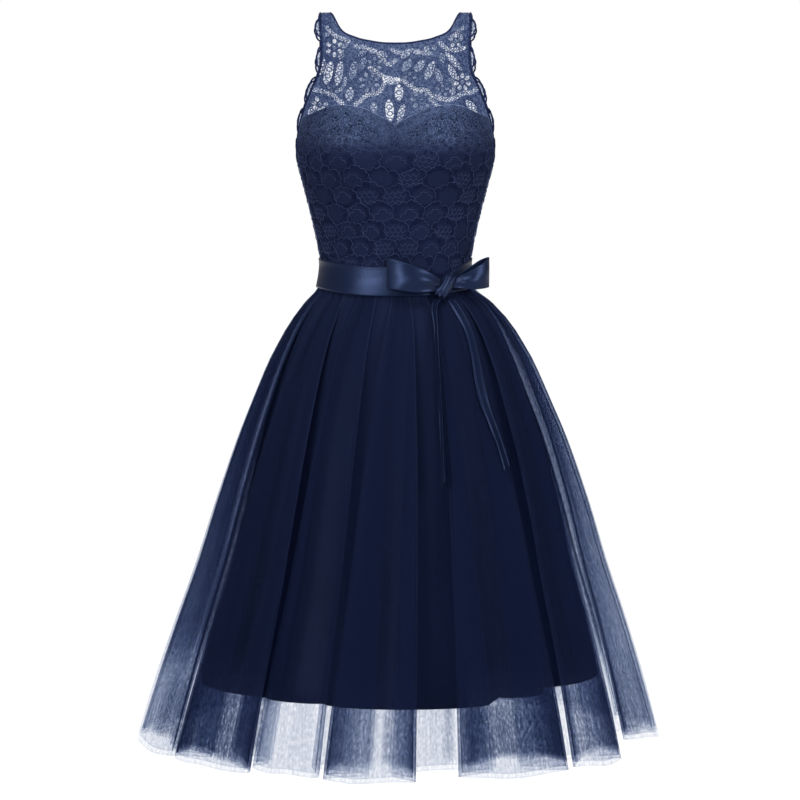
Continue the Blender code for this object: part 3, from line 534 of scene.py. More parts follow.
@dataclass(frozen=True)
class WovenFinish(Finish):
    """A plainly woven or knitted cloth: taffeta, lining or bias binding, by its thread size."""

    thread: float = 0.8
    relief: float = 0.00015
    light: str = "1A213C"
    wave: float = 0.08
    on_sheet: bool = True
    cover: float = 1.0

    def build(self) -> Material:
        """Make the weave, with soft changes of tone along the cloth.

        Returns:
            The material.
        """
        material, tree, shader = self.start()
        place = add_node(tree, "ShaderNodeTexCoord").outputs["Object"]
        if self.on_sheet:
            weave = self.threads(tree, self.thread, 0.3, 0.0)
        else:
            cells = add_node(tree, "ShaderNodeTexVoronoi", {0: place, "Scale": 1000 / self.thread})
            weave = cells.outputs["Distance"]
        clouds = add_node(tree, "ShaderNodeTexNoise", {0: place, "Scale": 9.0, "Detail": 2.0})
        amount = add_node(tree, "ShaderNodeMapRange", {0: clouds, 1: 0.35, 2: 0.7, 3: 0.0, 4: self.wave})
        tones = {0: amount, 6: linear(self.colour), 7: linear(self.light)}
        tone = add_node(tree, "ShaderNodeMix", tones, data_type="RGBA")
        bump = add_node(tree, "ShaderNodeBump", {"Height": weave, "Strength": 0.3, "Distance": self.relief})
        feed(shader, {"Base Color": tone.outputs[2], "Normal": bump})
        if self.cover < 1:
            self.see_through(tree, shader, 1 - self.cover)
        return material


@dataclass(frozen=True)
class CordFinish(Finish):
    """Twisted polyester cord and sewing thread, matt with a slight spiral of its yarns."""

    twist: float = 1.2

    def build(self) -> Material:
        """Make the cord, toned by the turn of its yarns.

        Returns:
            The material.
        """
        material, tree, shader = self.start()
        place = add_node(tree, "ShaderNodeTexCoord").outputs["Object"]
        yarns = {0: place, "Scale": 1000 / self.twist / math.tau, "Distortion": 1.5}
        turns = add_node(tree, "ShaderNodeTexWave", yarns, bands_direction="DIAGONAL")
        relief = {"Height": turns.outputs["Fac"], "Strength": 0.2, "Distance": 0.0002}
        feed(shader, {"Normal": add_node(tree, "ShaderNodeBump", relief)})
        return material


@dataclass(frozen=True)
class LacquerFinish(Finish):
    """Die-cast zinc under navy lacquer, as on a zip's slider: smooth, with fine handling marks in its gloss.
    """

    def build(self) -> Material:
        """Make the lacquered metal with fine handling marks in its gloss.

        Returns:
            The material.
        """
        material, tree, shader = self.start()
        place = add_node(tree, "ShaderNodeTexCoord").outputs["Object"]
        marks = add_node(tree, "ShaderNodeTexNoise", {0: place, "Scale": 900.0, "Detail": 3.0})
        gloss = add_node(tree, "ShaderNodeMapRange", {0: marks, 3: 0.25, 4: 0.5})
        feed(shader, {"Metallic": 0.35, "Roughness": gloss})
        return material


@dataclass(frozen=True)
class Wardrobe:
    """All finishes of the dress, each made once."""

    lace: Material
    sheer: Material
    lining: Material
    cord: Material
    cord_dark: Material
    binding: Material
    net_binding: Material
    satin: Material
    taffeta: Material
    tulle: Material
    zinc: Material
    tape: Material

    @classmethod
    def stocked(cls) -> "Wardrobe":
        """Make every finish.

        Returns:
            The wardrobe.
        """
        bias = WovenFinish("Bias binding", "161E3C", 0.75, thread=0.7, on_sheet=False)
        return cls(
            lace=LaceFinish("Corded lace over lining", "181F39", 0.8, shade="0D1328", cover=0.86).build(),
            sheer=LaceFinish("Sheer corded lace", "10172C", 0.8, shade="0B1024", cover=0.935).build(),
            lining=WovenFinish("Polyester lining", "0B1024", 0.75, thread=0.9).build(),
            cord=CordFinish("Polyester gimp cord", "2C3552", 0.75, 0.05).build(),
            cord_dark=CordFinish("Fine polyester cord", "1F2743", 0.75).build(),
            binding=bias.build(),
            net_binding=replace(bias, name="Net binding", cover=0.3).build(),
            satin=SatinFinish("Polyester satin ribbon", "0C1326", 0.32, 0.3).build(),
            taffeta=WovenFinish("Polyester taffeta", "0F1628", 0.6, 0.06, thread=0.7, wave=0.2).build(),
            tulle=NetFinish("Soft nylon tulle", "11182D", 0.9).build(),
            zinc=LacquerFinish("Lacquered zinc", "1B2344", 0.35, 0.4).build(),
            tape=WovenFinish("Woven zip tape", "0E142D", 0.75, thread=0.9, on_sheet=False).build(),
        )


# ---------- node trees for repeats
class Repeat(Enum):
    """What a node tree makes along its lines."""

    CORD = "cord"
    STITCH = "stitch"


@dataclass(frozen=True)
class LineWork:
    """Cords and stitches that follow lines, made by a node tree and kept as plain meshes."""

    kind: Repeat
    radius: float = 0.5
    length: float = 2.4
    spacing: float = 3.6
    sides: int = 5

    def tree(self, material: Material) -> Tree:
        """Build the node tree for one finish.

        Args:
            material: the finish of what it makes.

        Returns:
            The tree, with its sizes as named inputs.
        """
        tree = bpy.data.node_groups.new(f"{self.kind.value} work", "GeometryNodeTree")
        face = tree.interface
        face.new_socket("Geometry", in_out="INPUT", socket_type="NodeSocketGeometry")
        for label in ("Radius", "Length", "Spacing"):
            face.new_socket(label, in_out="INPUT", socket_type="NodeSocketFloat")
        face.new_socket("Geometry", in_out="OUTPUT", socket_type="NodeSocketGeometry")
        given = add_node(tree, "NodeGroupInput")
        lines = add_node(tree, "GeometryNodeMeshToCurve", {0: given.outputs["Geometry"]})
        if self.kind is Repeat.CORD:
            ring = add_node(
                tree, "GeometryNodeCurvePrimitiveCircle",
                {"Radius": given.outputs["Radius"], "Resolution": self.sides},
            )
            made = add_node(
                tree, "GeometryNodeCurveToMesh",
                {"Curve": lines, "Profile Curve": ring, "Fill Caps": True},
            )
        else:
            steps = {0: lines, "Length": given.outputs["Spacing"]}
            spaced = add_node(tree, "GeometryNodeResampleCurve", steps, mode="LENGTH")
            heading = add_node(tree, "GeometryNodeInputTangent")
            turned = add_node(tree, "FunctionNodeAlignRotationToVector", {"Vector": heading}, axis="Z")
            stitch = add_node(
                tree, "GeometryNodeMeshUVSphere",
                {"Radius": given.outputs["Radius"], "Segments": self.sides, "Rings": 4},
            )
            ratio = {0: given.outputs["Length"], 1: given.outputs["Radius"]}
            stretch = add_node(tree, "ShaderNodeMath", ratio, operation="DIVIDE")
            half = add_node(tree, "ShaderNodeMath", {0: stretch, 1: 0.5}, operation="MULTIPLY")
            shape = add_node(tree, "ShaderNodeCombineXYZ", {0: 1.0, 1: 1.0, 2: half})
            made = add_node(
                tree, "GeometryNodeInstanceOnPoints",
                {"Points": spaced, "Instance": stitch, "Rotation": turned, "Scale": shape},
            )
        real = add_node(tree, "GeometryNodeRealizeInstances", {0: made})
        soft = add_node(tree, "GeometryNodeSetShadeSmooth", {0: real})
        dressed = add_node(tree, "GeometryNodeSetMaterial", {0: soft, "Material": material})
        add_node(tree, "NodeGroupOutput", {0: dressed})
        return tree

    def make(self, name: str, lines: Sequence[Array], material: Material) -> Object:
        """Make the work along some lines.

        Args:
            name: the piece's name.
            lines: lines of points in millimetres.
            material: its finish.

        Returns:
            One plain mesh object.
        """
        guide = wire_object(f"{name}_guide", lines)
        tree = self.tree(material)
        work = guide.modifiers.new("Line work", "NODES")
        work.node_group = tree
        sizes = {"Radius": self.radius, "Length": self.length, "Spacing": self.spacing}
        for item in tree.interface.items_tree:
            if item.in_out == "INPUT" and item.name in sizes:
                work[item.identifier] = sizes[item.name] * MM
        seen = guide.evaluated_get(bpy.context.evaluated_depsgraph_get())
        mesh = bpy.data.meshes.new_from_object(seen)
        mesh.name = name
        bpy.data.objects.remove(guide)
        return place_object(name, mesh)


# ---------- the body's shape
@dataclass(frozen=True)
class BodyForm:
    """The worn shape under the bodice: half sizes across, to the front and to the back.

    An angle runs from the centre front (0) over the wearer's left to the centre back (pi).
    A reach is a length down the centre front from the shoulder line.
    """

    torso: Table = (
        (0, 165, 0.45, 0.45), (-4, 165, 16, 16), (-15, 163, 34, 30), (-30, 161, 50, 44),
        (-46, 160, 63, 56), (-80, 155, 84, 78), (-120, 150, 102, 94), (-160, 146, 116, 102),
        (-195, 142.5, 124, 104), (-215, 140.5, 124, 103), (-250, 131.5, 114, 97), (-300, 119, 98, 87),
        (-349, 109, 85.5, 79.5), (-372, 108.5, 84.5, 78.5), (-400, 109.5, 86.5, 80.5),
    )
    bust_apart: float = 68.0
    bust_height: float = -195.0
    bust_rise: float = 16.0
    bust_spread: tuple[float, float] = (34.0, 38.0)
    waist_seam: float = -370.0
    waist_dip: float = 10.5

    @cached_property
    def profile(self) -> Array:
        """The torso's rows read finely, with the reach of each row added."""
        rows = catmull_rom(self.torso)
        return np.column_stack([rows, run_length(rows[:, [0, 2]])])

    def reach_at(self, height: Any) -> Array:
        """Return the reach at a height."""
        return np.interp(-np.asarray(height, float), -self.profile[:, 0], self.profile[:, 4])

    def surface(self, angle: Array, reach: Array) -> Array:
        """Find points of the form.

        Args:
            angle: angles round the body.
            reach: as many reaches.

        Returns:
            One point for each pair.
        """
        table = self.profile
        height, across, front, back = (np.interp(reach, table[:, 4], table[:, i]) for i in range(4))
        facing = np.cos(angle)
        x = across * np.sin(angle)
        depth = np.where(facing > 0, front, back) * facing
        side = (np.abs(x) - self.bust_apart) / self.bust_spread[0]
        level = (height - self.bust_height) / self.bust_spread[1]
        bust = self.bust_rise * np.exp(-0.5 * (side**2 + level**2)) * np.clip(facing, 0, 1)
        return np.stack([x, -depth - bust, height], -1)

    def normal(self, angle: Array, reach: Array) -> Array:
        """Find the outward directions at points of the form.

        Args:
            angle: angles round the body.
            reach: as many reaches.

        Returns:
            One unit direction for each pair.
        """
        turn, step = 0.004, 0.5
        low = np.clip(reach - step, 0.2, None)
        round_body = self.surface(angle + turn, reach) - self.surface(angle - turn, reach)
        up_body = self.surface(angle, low) - self.surface(angle, low + 2 * step)
        return unit(np.cross(round_body, up_body))

    def points(self, chart: Array, out: Any = 0.0) -> Array:
        """Find points a given distance off the form.

        Args:
            chart: pairs of angle and reach.
            out: the distance outwards, one number or one for each pair.

        Returns:
            One point for each pair.
        """
        angle, reach = chart[..., 0], chart[..., 1]
        lift = np.asarray(out, float)
        lift = lift[..., None] if lift.ndim else lift
        return self.surface(angle, reach) + lift * self.normal(angle, reach)

    def chart_of(self, edge: Any, at_back: bool = False) -> Array:
        """Turn points given across and by height into pairs of angle and reach.

        Args:
            edge: pairs of distance across and height.
            at_back: whether they lie on the back.

        Returns:
            The pairs.
        """
        edge = np.asarray(edge, float)
        reach = self.reach_at(edge[:, 1])
        widest = np.interp(reach, self.profile[:, 4], self.profile[:, 1])
        angle = np.arcsin(np.clip(edge[:, 0] / widest, -1, 1))
        return pairs(math.pi - angle if at_back else angle, reach)

    def seam_height(self, angle: Array) -> Array:
        """Return the height of the waist seam, which dips towards the centre front."""
        return self.waist_seam - self.waist_dip * np.clip(np.cos(angle), 0, None) ** 2


@dataclass(frozen=True)
class BodiceCut:
    """The cut edges of the bodice on the wearer's left half, as distance across and height."""

    form: BodyForm
    neckline: Table = ((0, -46.5), (17, -46), (34, -43.5), (56.5, -38), (79, -25), (94, 0))
    sweetheart: Table = (
        (0, -161), (17, -150), (32, -143), (45.5, -136.5), (72, -132), (94, -134), (117, -143),
    )
    front_armhole: Table = (
        (104, 0), (104.5, -18), (102, -40), (102.5, -64), (106, -86), (115, -105),
        (123, -124), (131, -145), (136.5, -165), (139.5, -184), (140.8, -203),
    )
    back_armhole: Table = (
        (104, 0), (107, -18), (105.5, -40), (106.5, -64), (110.5, -86), (119, -105),
        (127, -124), (134, -145), (138.5, -165), (140.3, -184), (140.9, -201),
    )
    scoop: Table = ((0, -222), (30, -218), (60, -200), (80, -165))
    strap_inner: Table = ((80, -165), (89, -120), (92, -70), (94, -30), (94, 0))
    lining_side: float = -149.0
    underarm: float = -215.0
    seam_gap: float = 0.3
    chart_scale: tuple[float, float] = (110.0, 1.0)

    @cached_property
    def side_turn(self) -> float:
        """The angle by which each panel keeps off the side seam."""
        return self.seam_gap / 2 / 140

    def side_edge(self, low: float, high: float, count: int, at_back: bool = False) -> Array:
        """Read the side seam and the armhole above it.

        Args:
            low: the lowest height.
            high: the highest height.
            count: how many points.
            at_back: whether it is the back's edge.

        Returns:
            Pairs of angle and reach, upwards.
        """
        form = self.form
        turn = math.pi / 2 + (1 if at_back else -1) * self.side_turn
        seam = [(turn, float(form.reach_at(h))) for h in (form.waist_seam, self.underarm)]
        armhole = self.back_armhole if at_back else self.front_armhole
        curve = catmull_rom(np.vstack([seam[1], form.chart_of(armhole, at_back)[::-1]]))
        line = np.vstack([seam[0], curve])
        reach = form.reach_at(np.linspace(low, high, count))
        return pairs(np.interp(-reach, -line[:, 1], line[:, 0]), reach)

    def waist_edge(self, angles: Array) -> Array:
        """Return pairs of angle and reach along the waist seam."""
        return pairs(angles, self.form.reach_at(self.form.seam_height(angles)))

    def front_lower(self, half: int, rows: int) -> Array:
        """Chart the lined part of the front, from the waist to the lining's heart-shaped edge.

        Args:
            half: how many columns each half has.
            rows: how many rows of points there are.

        Returns:
            A grid of pairs.
        """
        angles = np.linspace(-1, 1, 2 * half + 1) * (math.pi / 2 - self.side_turn)
        side = self.side_edge(self.form.waist_seam, self.lining_side, rows)
        heart = np.vstack([self.form.chart_of(self.sweetheart), side[-1]])
        heart = along(catmull_rom(heart), half + 1, self.chart_scale)
        return coons(self.waist_edge(angles), mirrored(heart), side * (-1, 1), side)

    def front_upper(self, half: int, rows: int) -> Array:
        """Chart the sheer yoke, from the lining's edge to the neck and shoulders.

        Args:
            half: how many columns each half has, a multiple of 9.
            rows: how many rows of points there are.

        Returns:
            A grid of pairs.
        """
        heart = self.front_lower(half, 3)[-1]
        side = self.side_edge(self.lining_side, 0, rows)
        shoulder = half // 9
        line = catmull_rom(self.form.chart_of(self.neckline))
        neck = along(line, half - shoulder + 1, self.chart_scale)
        shares = np.linspace(0, 1, shoulder + 1)[1:, None]
        neck = np.vstack([neck, neck[-1] * (1 - shares) + side[-1] * shares])
        return coons(heart, mirrored(neck), side * (-1, 1), side)

    def back_lower(self, columns: int, rows: int) -> Array:
        """Chart the lined part of the left back, from the centre back to the side seam.

        Args:
            columns: how many columns it has, a multiple of 3.
            rows: how many rows of points there are.

        Returns:
            A grid of pairs.
        """
        gap = self.seam_gap / 2 / 80
        angles = np.linspace(math.pi - gap, math.pi / 2 + self.side_turn, columns + 1)
        side = self.side_edge(self.form.waist_seam, self.lining_side, rows, True)
        scoop = self.form.chart_of(self.scoop, True)
        scoop[0, 0] -= gap
        strap = columns // 3
        scoop = along(catmull_rom(scoop), columns - strap + 1, self.chart_scale)
        shares = np.linspace(0, 1, strap + 1)[:, None]
        top = np.vstack([scoop[:-1], scoop[-1] * (1 - shares) + side[-1] * shares])
        waist = self.waist_edge(angles)
        rise = np.linspace(0, 1, rows)[:, None]
        return coons(waist, top, waist[0] * (1 - rise) + top[0] * rise, side)

    def back_strap(self, columns: int, rows: int) -> Array:
        """Chart the left back strap, from the lined part's top to the shoulder.

        Args:
            columns: how many columns the lined part has.
            rows: how many rows of points there are.

        Returns:
            A grid of pairs.
        """
        strap = columns // 3
        across = self.back_lower(columns, 3)[-1][-strap - 1 :]
        side = self.side_edge(self.lining_side, 0, rows, True)
        inner = along(catmull_rom(self.form.chart_of(self.strap_inner, True)), rows, self.chart_scale)
        shares = np.linspace(0, 1, strap + 1)[:, None]
        return coons(across, inner[-1] * (1 - shares) + side[-1] * shares, inner, side)

    def neck_edge(self, count: int) -> Array:
        """Chart the left half of the neck edge, from the centre front to the centre back.

        Args:
            count: how many columns each half of the front has, a multiple of 9.

        Returns:
            Pairs of angle and reach.
        """
        front = self.front_upper(count, 3)[-1][count : 2 * count - count // 9 + 1]
        strap = self.back_strap(count, count)[::-1, 0]
        scoop = self.back_lower(count, 3)[-1][: count - count // 3]
        return np.vstack([front, strap[1:], scoop[::-1]])

    def armhole_edge(self, count: int) -> Array:
        """Chart the left armhole, from the front shoulder under the arm to the back shoulder.

        Args:
            count: how many points each half has.

        Returns:
            Pairs of angle and reach.
        """
        front = self.side_edge(self.underarm, 0, count)[::-1]
        back = self.side_edge(self.underarm, 0, count, True)
        return np.vstack([front, back[1:]])


# ---------- the lace's pattern
class Figure(Enum):
    """The figures of the lace."""

    PETAL = "petal"
    LADDER = "ladder"


@dataclass(frozen=True)
class Motif:
    """One oval figure: a petal filled with light net, or a leaf with a chain of rings in it."""

    kind: Figure
    across: float
    height: float
    length: float
    width: float
    turn: float
    light: float = 1.0
    ring_share: float = 0.66

    def placed(self, lengthways: Array, sideways: Array) -> Array:
        """Turn places on the figure into points of the pattern's plane.

        Args:
            lengthways: places along the figure.
            sideways: places across it.

        Returns:
            The points.
        """
        turn = math.radians(self.turn)
        x = self.across + lengthways * math.sin(turn) + sideways * math.cos(turn)
        z = self.height + lengthways * math.cos(turn) - sideways * math.sin(turn)
        return np.column_stack([x, z])

    def openness(self, plane: Array) -> Array:
        """Tell how open the lace is at points of the pattern's plane.

        Args:
            plane: the points.

        Returns:
            0 where the cloth is close and 1 in a hole.
        """
        away = plane - (self.across, self.height)
        turn = math.radians(self.turn)
        lengthways = away @ np.array([math.sin(turn), math.cos(turn)])
        sideways = away @ np.array([math.cos(turn), -math.sin(turn)])
        oval = np.hypot(lengthways / (self.length / 2), sideways / (self.width / 2))
        inside = self.light * (1 - smooth_step(0.78, 0.95, oval))
        if self.kind is Figure.PETAL:
            return 0.74 * inside
        pitch = self.width * self.ring_share
        odd = round(self.length / pitch) % 2
        beside = (lengthways + pitch / 2 * odd) % pitch - pitch / 2
        across = np.abs(sideways)
        ring = smooth_step(1.15, 0.55, np.abs(np.hypot(beside, sideways * 0.92) - 0.34 * pitch))
        between = np.abs((lengthways + pitch / 4) % (pitch / 2) - pitch / 4)
        rung = smooth_step(0.8, 0.3, between) * smooth_step(0.25, 0.32, across / self.width)
        return inside * (1 - 0.9 * np.maximum(ring, rung))

    def lines(self) -> list[Array]:
        """Draw the figure's cords: its outline and, round a clear leaf, one more contour.

        Returns:
            The closed lines.
        """
        turn = np.linspace(0, 2 * math.pi, max(14, int(self.length * 0.8)))
        drawn = []
        for more in (0.0, 3.2)[: 2 if self.kind is Figure.LADDER and self.length > 18 else 1]:
            drawn.append(self.placed(
                np.cos(turn) * (self.length / 2 + more), np.sin(turn) * (self.width / 2 + more * 0.8)
            ))
            drawn[-1][-1] = drawn[-1][0]
        return drawn


@dataclass(frozen=True)
class Rosette:
    """A fan of petals round a small eye."""

    across: float
    height: float
    petals: int
    radius: float
    first: float
    last: float
    long: float
    wide: float
    light: float = 1.0

    def motifs(self) -> list[Motif]:
        """Make the rosette's figures.

        Returns:
            Its petals and its eye.
        """
        petals = [
            Motif(
                Figure.PETAL,
                self.across + self.radius * math.sin(math.radians(turn)),
                self.height + self.radius * math.cos(math.radians(turn)),
                self.long, self.wide, turn, self.light,
            )
            for turn in np.linspace(self.first, self.last, self.petals)
        ]
        return petals + [Motif(Figure.LADDER, self.across, self.height, 6.5, 6.0, 0, self.light)]


@dataclass(frozen=True)
class Garland:
    """A band of open mesh between the figures, two small diamonds wide."""

    path: Table
    width: float = 7.0
    light: float = 1.0
    pitch: float = 4.0

    def openness(self, plane: Array) -> Array:
        """Tell how open the band leaves the lace.

        Args:
            plane: points of the pattern's plane.

        Returns:
            0 where the cloth is close and 1 in a hole.
        """
        line = catmull_rom(self.path, 6)
        nearest = np.full(len(plane), 1e9)
        place, offset = np.zeros(len(plane)), np.zeros(len(plane))
        for start, end, before in zip(line, line[1:], run_length(line)):
            run = end - start
            size = float(np.hypot(*run))
            share = np.clip((plane - start) @ run / size**2, 0, 1)
            foot = plane - start - share[:, None] * run
            away = np.hypot(*foot.T)
            closer = away < nearest
            nearest = np.where(closer, away, nearest)
            place = np.where(closer, before + share * size, place)
            offset = np.where(closer, away * np.sign(run[0] * foot[:, 1] - run[1] * foot[:, 0]), offset)
        thread = np.zeros(len(plane))
        for slant in (place + offset, place - offset):
            thread = np.maximum(thread, smooth_step(1.15, 0.5, np.abs(slant % self.pitch - self.pitch / 2)))
        inside = 1 - smooth_step(self.width * 0.42, self.width * 0.52, nearest)
        return self.light * inside * (1 - 0.88 * thread)


@dataclass(frozen=True)
class LacePattern:
    """A generic floral lace: leaves, rosettes and garlands above, and corded clouds below."""

    leaves: Table = (
        # Each leaf's place, length, width, turn and lightness. First the left side of the yoke.
        (-94, -87, 40, 14, 14, 1.0), (-103, -79, 28, 10, 17, 0.95), (-79, -88, 40, 12, 10, 0.7),
        (-59, -84, 30, 12, 14, 0.35), (-46, -74, 24, 11, 22, 0.3), (-64, -117, 22, 13, 8, 0.6),
        (-30, -136, 18, 12, 0, 0.6), (-118, -139, 20, 9, 38, 0.85), (-46, -60, 16, 9, 60, 0.4),
        (-76, -62, 18, 9, 20, 0.5), (-95, -30, 16, 8, 30, 0.7), (-70, -48, 15, 8, 50, 0.5),
        # The middle.
        (5, -115, 25, 14, 0, 1.0), (-8, -140, 34, 14, -5, 1.0), (8, -144, 30, 10, 18, 0.9),
        (-17, -61, 15, 9, -58, 0.75), (14, -63, 16, 9, 62, 0.8), (31, -58, 14, 8, 80, 0.75),
        (44, -53, 13, 8, 24, 0.85), (55, -52, 12, 8, 0, 0.6), (-31, -57, 14, 9, 62, 0.55),
        # The right side of the yoke.
        (16, -77, 24, 12, 34, 0.35), (34, -78, 26, 12, 38, 0.6), (48, -84, 34, 12, 24, 0.65),
        (61, -92, 28, 10, -20, 0.45), (82, -71, 38, 10, -42, 0.95), (80, -86, 26, 10, -26, 0.85),
        (80, -113, 14, 10, 0, 0.6), (107, -134, 26, 11, -42, 1.0), (66, -66, 18, 9, -10, 0.5),
        (92, -36, 14, 8, -30, 0.7),
        # Over the cups.
        (-118, -158, 26, 12, 40, 0.8), (-102, -157, 34, 12, 22, 0.8), (-84, -154, 34, 12, 4, 0.8),
        (-66, -156, 32, 12, -16, 0.8), (-48, -162, 28, 12, -32, 0.8), (-31, -172, 26, 11, -46, 0.8),
        (116, -160, 28, 12, -38, 0.8), (100, -156, 34, 12, -22, 0.8), (82, -153, 34, 12, -4, 0.8),
        (64, -156, 32, 12, 16, 0.8), (46, -162, 30, 12, 32, 0.8), (28, -172, 28, 11, 46, 0.8),
        (-1, -184, 24, 12, 0, 0.7), (-128, -182, 26, 11, 30, 0.7), (129, -182, 26, 11, -30, 0.7),
    )
    rosettes: tuple[Rosette, ...] = (
        Rosette(-86, -52, 6, 9.5, 0, 300, 8.5, 6.5, 0.95),
        Rosette(-106, -131, 6, 8.5, 90, 330, 9, 6.5, 0.9),
        Rosette(-36, -101, 8, 11.5, 20, 335, 9, 6.5, 0.35), Rosette(-29, -76, 6, 8, 0, 300, 7.5, 5.5, 0.35),
        Rosette(36, -125, 8, 11.5, 0, 315, 9, 6.5, 0.32), Rosette(94, -100, 7, 9, 0, 309, 9, 6.5, 0.95),
        Rosette(85, -42, 5, 7.5, 0, 288, 7.5, 5.5, 0.8), Rosette(-89, -112, 5, 7, 30, 318, 7, 5, 0.4),
        Rosette(20, -96, 5, 7, 0, 288, 7, 5, 0.3), Rosette(66, -112, 5, 7, 0, 288, 7, 5, 0.3),
        # Over the cups.
        Rosette(-78, -182, 8, 12, 0, 315, 10, 6.5, 0.75), Rosette(77, -182, 8, 12, 0, 315, 10, 6.5, 0.75),
        Rosette(-108, -186, 7, 9.5, 0, 309, 9, 6, 0.75), Rosette(107, -186, 7, 9.5, 0, 309, 9, 6, 0.75),
        Rosette(-47, -190, 7, 9.5, 0, 309, 9, 6, 0.7), Rosette(46, -190, 7, 9.5, 0, 309, 9, 6, 0.7),
    )
    garlands: tuple[Garland, ...] = (
        Garland(((-35, -80), (-25, -88), (-14, -94), (0, -97), (11, -99), (21, -106), (30, -111),
                 (43, -112), (52, -119), (66, -124), (80, -124), (94, -116), (108, -114), (116, -108))),
        Garland(((-15, -97), (-17, -106), (-25, -116), (-40, -119), (-49, -127), (-57, -133)), 6.4),
        Garland(((-13, -96), (-5, -99), (4, -98)), 11.0),
        Garland(((-114, -110), (-100, -114), (-88, -118), (-82, -124), (-72, -132)), 7.4),
        Garland(((-56, -50), (-41, -52), (-28, -58), (-20, -65), (-9, -76), (0, -70)), 6.0, 0.9),
        Garland(((-5, -55), (8, -60), (22, -56), (36, -59), (50, -60)), 6.0, 0.8),
        Garland(((62, -44), (72, -53), (84, -55), (96, -52)), 6.6),
        Garland(((-98, -22), (-88, -32), (-77, -38), (-66, -42)), 6.0, 0.9),
        Garland(((96, -22), (88, -30), (80, -36)), 5.4, 0.8),
        Garland(((52, -121), (54, -130), (66, -138)), 6.0, 0.9),
        Garland(((-78, -112), (-72, -104), (-70, -96)), 5.4, 0.6),
        Garland(((76, -96), (82, -104), (80, -122)), 5.4, 0.6),
        Garland(((-134, -170), (-112, -174), (-94, -170), (-80, -168), (-62, -171), (-46, -178),
                 (-30, -188), (-12, -193), (0, -200), (12, -193), (30, -188), (46, -178), (62, -171),
                 (80, -168), (94, -170), (112, -174), (134, -170)), 6.0, 0.8),
    )
    cloud_top: float = -211.0
    cloud_drop: float = 24.5
    cloud_step: float = 40.0
    cloud_tall: float = 16.3
    cloud_count: tuple[int, int] = (7, 10)
    most_open: float = 0.8
    scale_width: float = 8.0
    scale_drop: float = 6.2

    def motifs(self) -> list[Motif]:
        """Return every petal and leaf of the front."""
        petals = [m for rosette in self.rosettes for m in rosette.motifs()]
        return petals + [Motif(Figure.LADDER, *leaf) for leaf in self.leaves]

    def openness(self, plane: Array) -> Array:
        """Tell how open the front's lace is at points across and by height.

        Args:
            plane: the points.

        Returns:
            0 where the cloth is close and 1 in a hole.
        """
        open_share = np.zeros(len(plane))
        for motif in self.motifs():
            reach = max(motif.length, motif.width) / 2
            near = np.hypot(*(plane - (motif.across, motif.height)).T) < reach
            open_share[near] = np.maximum(open_share[near], motif.openness(plane[near]))
        for garland in self.garlands:
            low, high = np.min(garland.path, 0) - 5, np.max(garland.path, 0) + 5
            near = np.all((plane > low) & (plane < high), 1)
            open_share[near] = np.maximum(open_share[near], garland.openness(plane[near]))
        return self.most_open * open_share

    def cords(self) -> list[Array]:
        """Draw the cords of the front's figures, with a wider contour round each rosette.

        Returns:
            The lines, as distances across and heights.
        """
        rounds = [
            Motif(Figure.PETAL, r.across, r.height, 2 * r.radius + r.long + 5, 2 * r.radius + r.long + 5, 0)
            for r in self.rosettes
        ]
        return [line for motif in self.motifs() + rounds for line in motif.lines()]

    @staticmethod
    def chance(*key: float) -> float:
        """Return a number from 0 to 1 that looks random and is the same for the same key."""
        mixed = math.sin(sum(k * weight for k, weight in zip(key, (12.9898, 78.233, 37.719)))) * 43758.5453
        return mixed - math.floor(mixed)

    def cloud_middle(self, row: int, column: int) -> Array:
        """Return a cloud's place round the body and height. Columns count in half steps."""
        return np.array([column * self.cloud_step / 2, self.cloud_top - row * self.cloud_drop])

    def cloud_corner(self, row: int, column: int, up: int) -> Array:
        """Return a cloud's top (up 1) or bottom (up -1) corner, moved a little by chance."""
        moved = [self.chance(row, column, up + 3 * axis) - 0.5 for axis in (0, 1)]
        return self.cloud_middle(row, column) + (0, up * self.cloud_tall) + np.array(moved) * (17, 10)

    def clouds(self) -> list[Array]:
        """Draw the adjoining corded clouds, with rows of scales or a few inner arches in them.

        Returns:
            Their lines, as places round the body and heights.
        """
        lines = []
        rows, columns = self.cloud_count
        for row in range(rows):
            for column in range(-columns + row % 2, columns + 1, 2):
                top = self.cloud_corner(row, column, 1)
                left, right = (self.cloud_corner(row - 1, column + side, -1) for side in (-1, 1))
                below = self.cloud_corner(row + 1, column + 1, 1)
                lines.append(self.arches(left, top, 2 + round(self.chance(row, column, 7))))
                lines.append(self.arches(top, right, 2 + round(self.chance(row, column, 8))))
                lines.append(self.arches(right, below, 2))
                kind = self.chance(row, column, 9)
                middle = self.cloud_middle(row, column)
                if kind < 0.42:
                    lines += self.scales(middle, kind * 5)
                elif kind < 0.8:
                    start = middle + (-12, -4 + 20 * (kind - 0.67))
                    lines.append(self.arches(start, middle + (2, 6), 2))
                    lines.append(self.arches(middle + (2, 6), middle + (13, -3), 2))
        return lines

    @staticmethod
    def arches(start: Array, end: Array, count: int) -> Array:
        """Draw a run of round arches that rise to the left of their way.

        Args:
            start: where the run starts.
            end: where it ends.
            count: how many arches it has.

        Returns:
            Its points.
        """
        t = np.linspace(0, 1, 8 * count + 1)[:, None]
        run = end - start
        rise = np.array([-run[1], run[0]]) * 0.34 / count
        return start + run * t + rise * np.abs(np.sin(math.pi * t * count)) ** 0.8

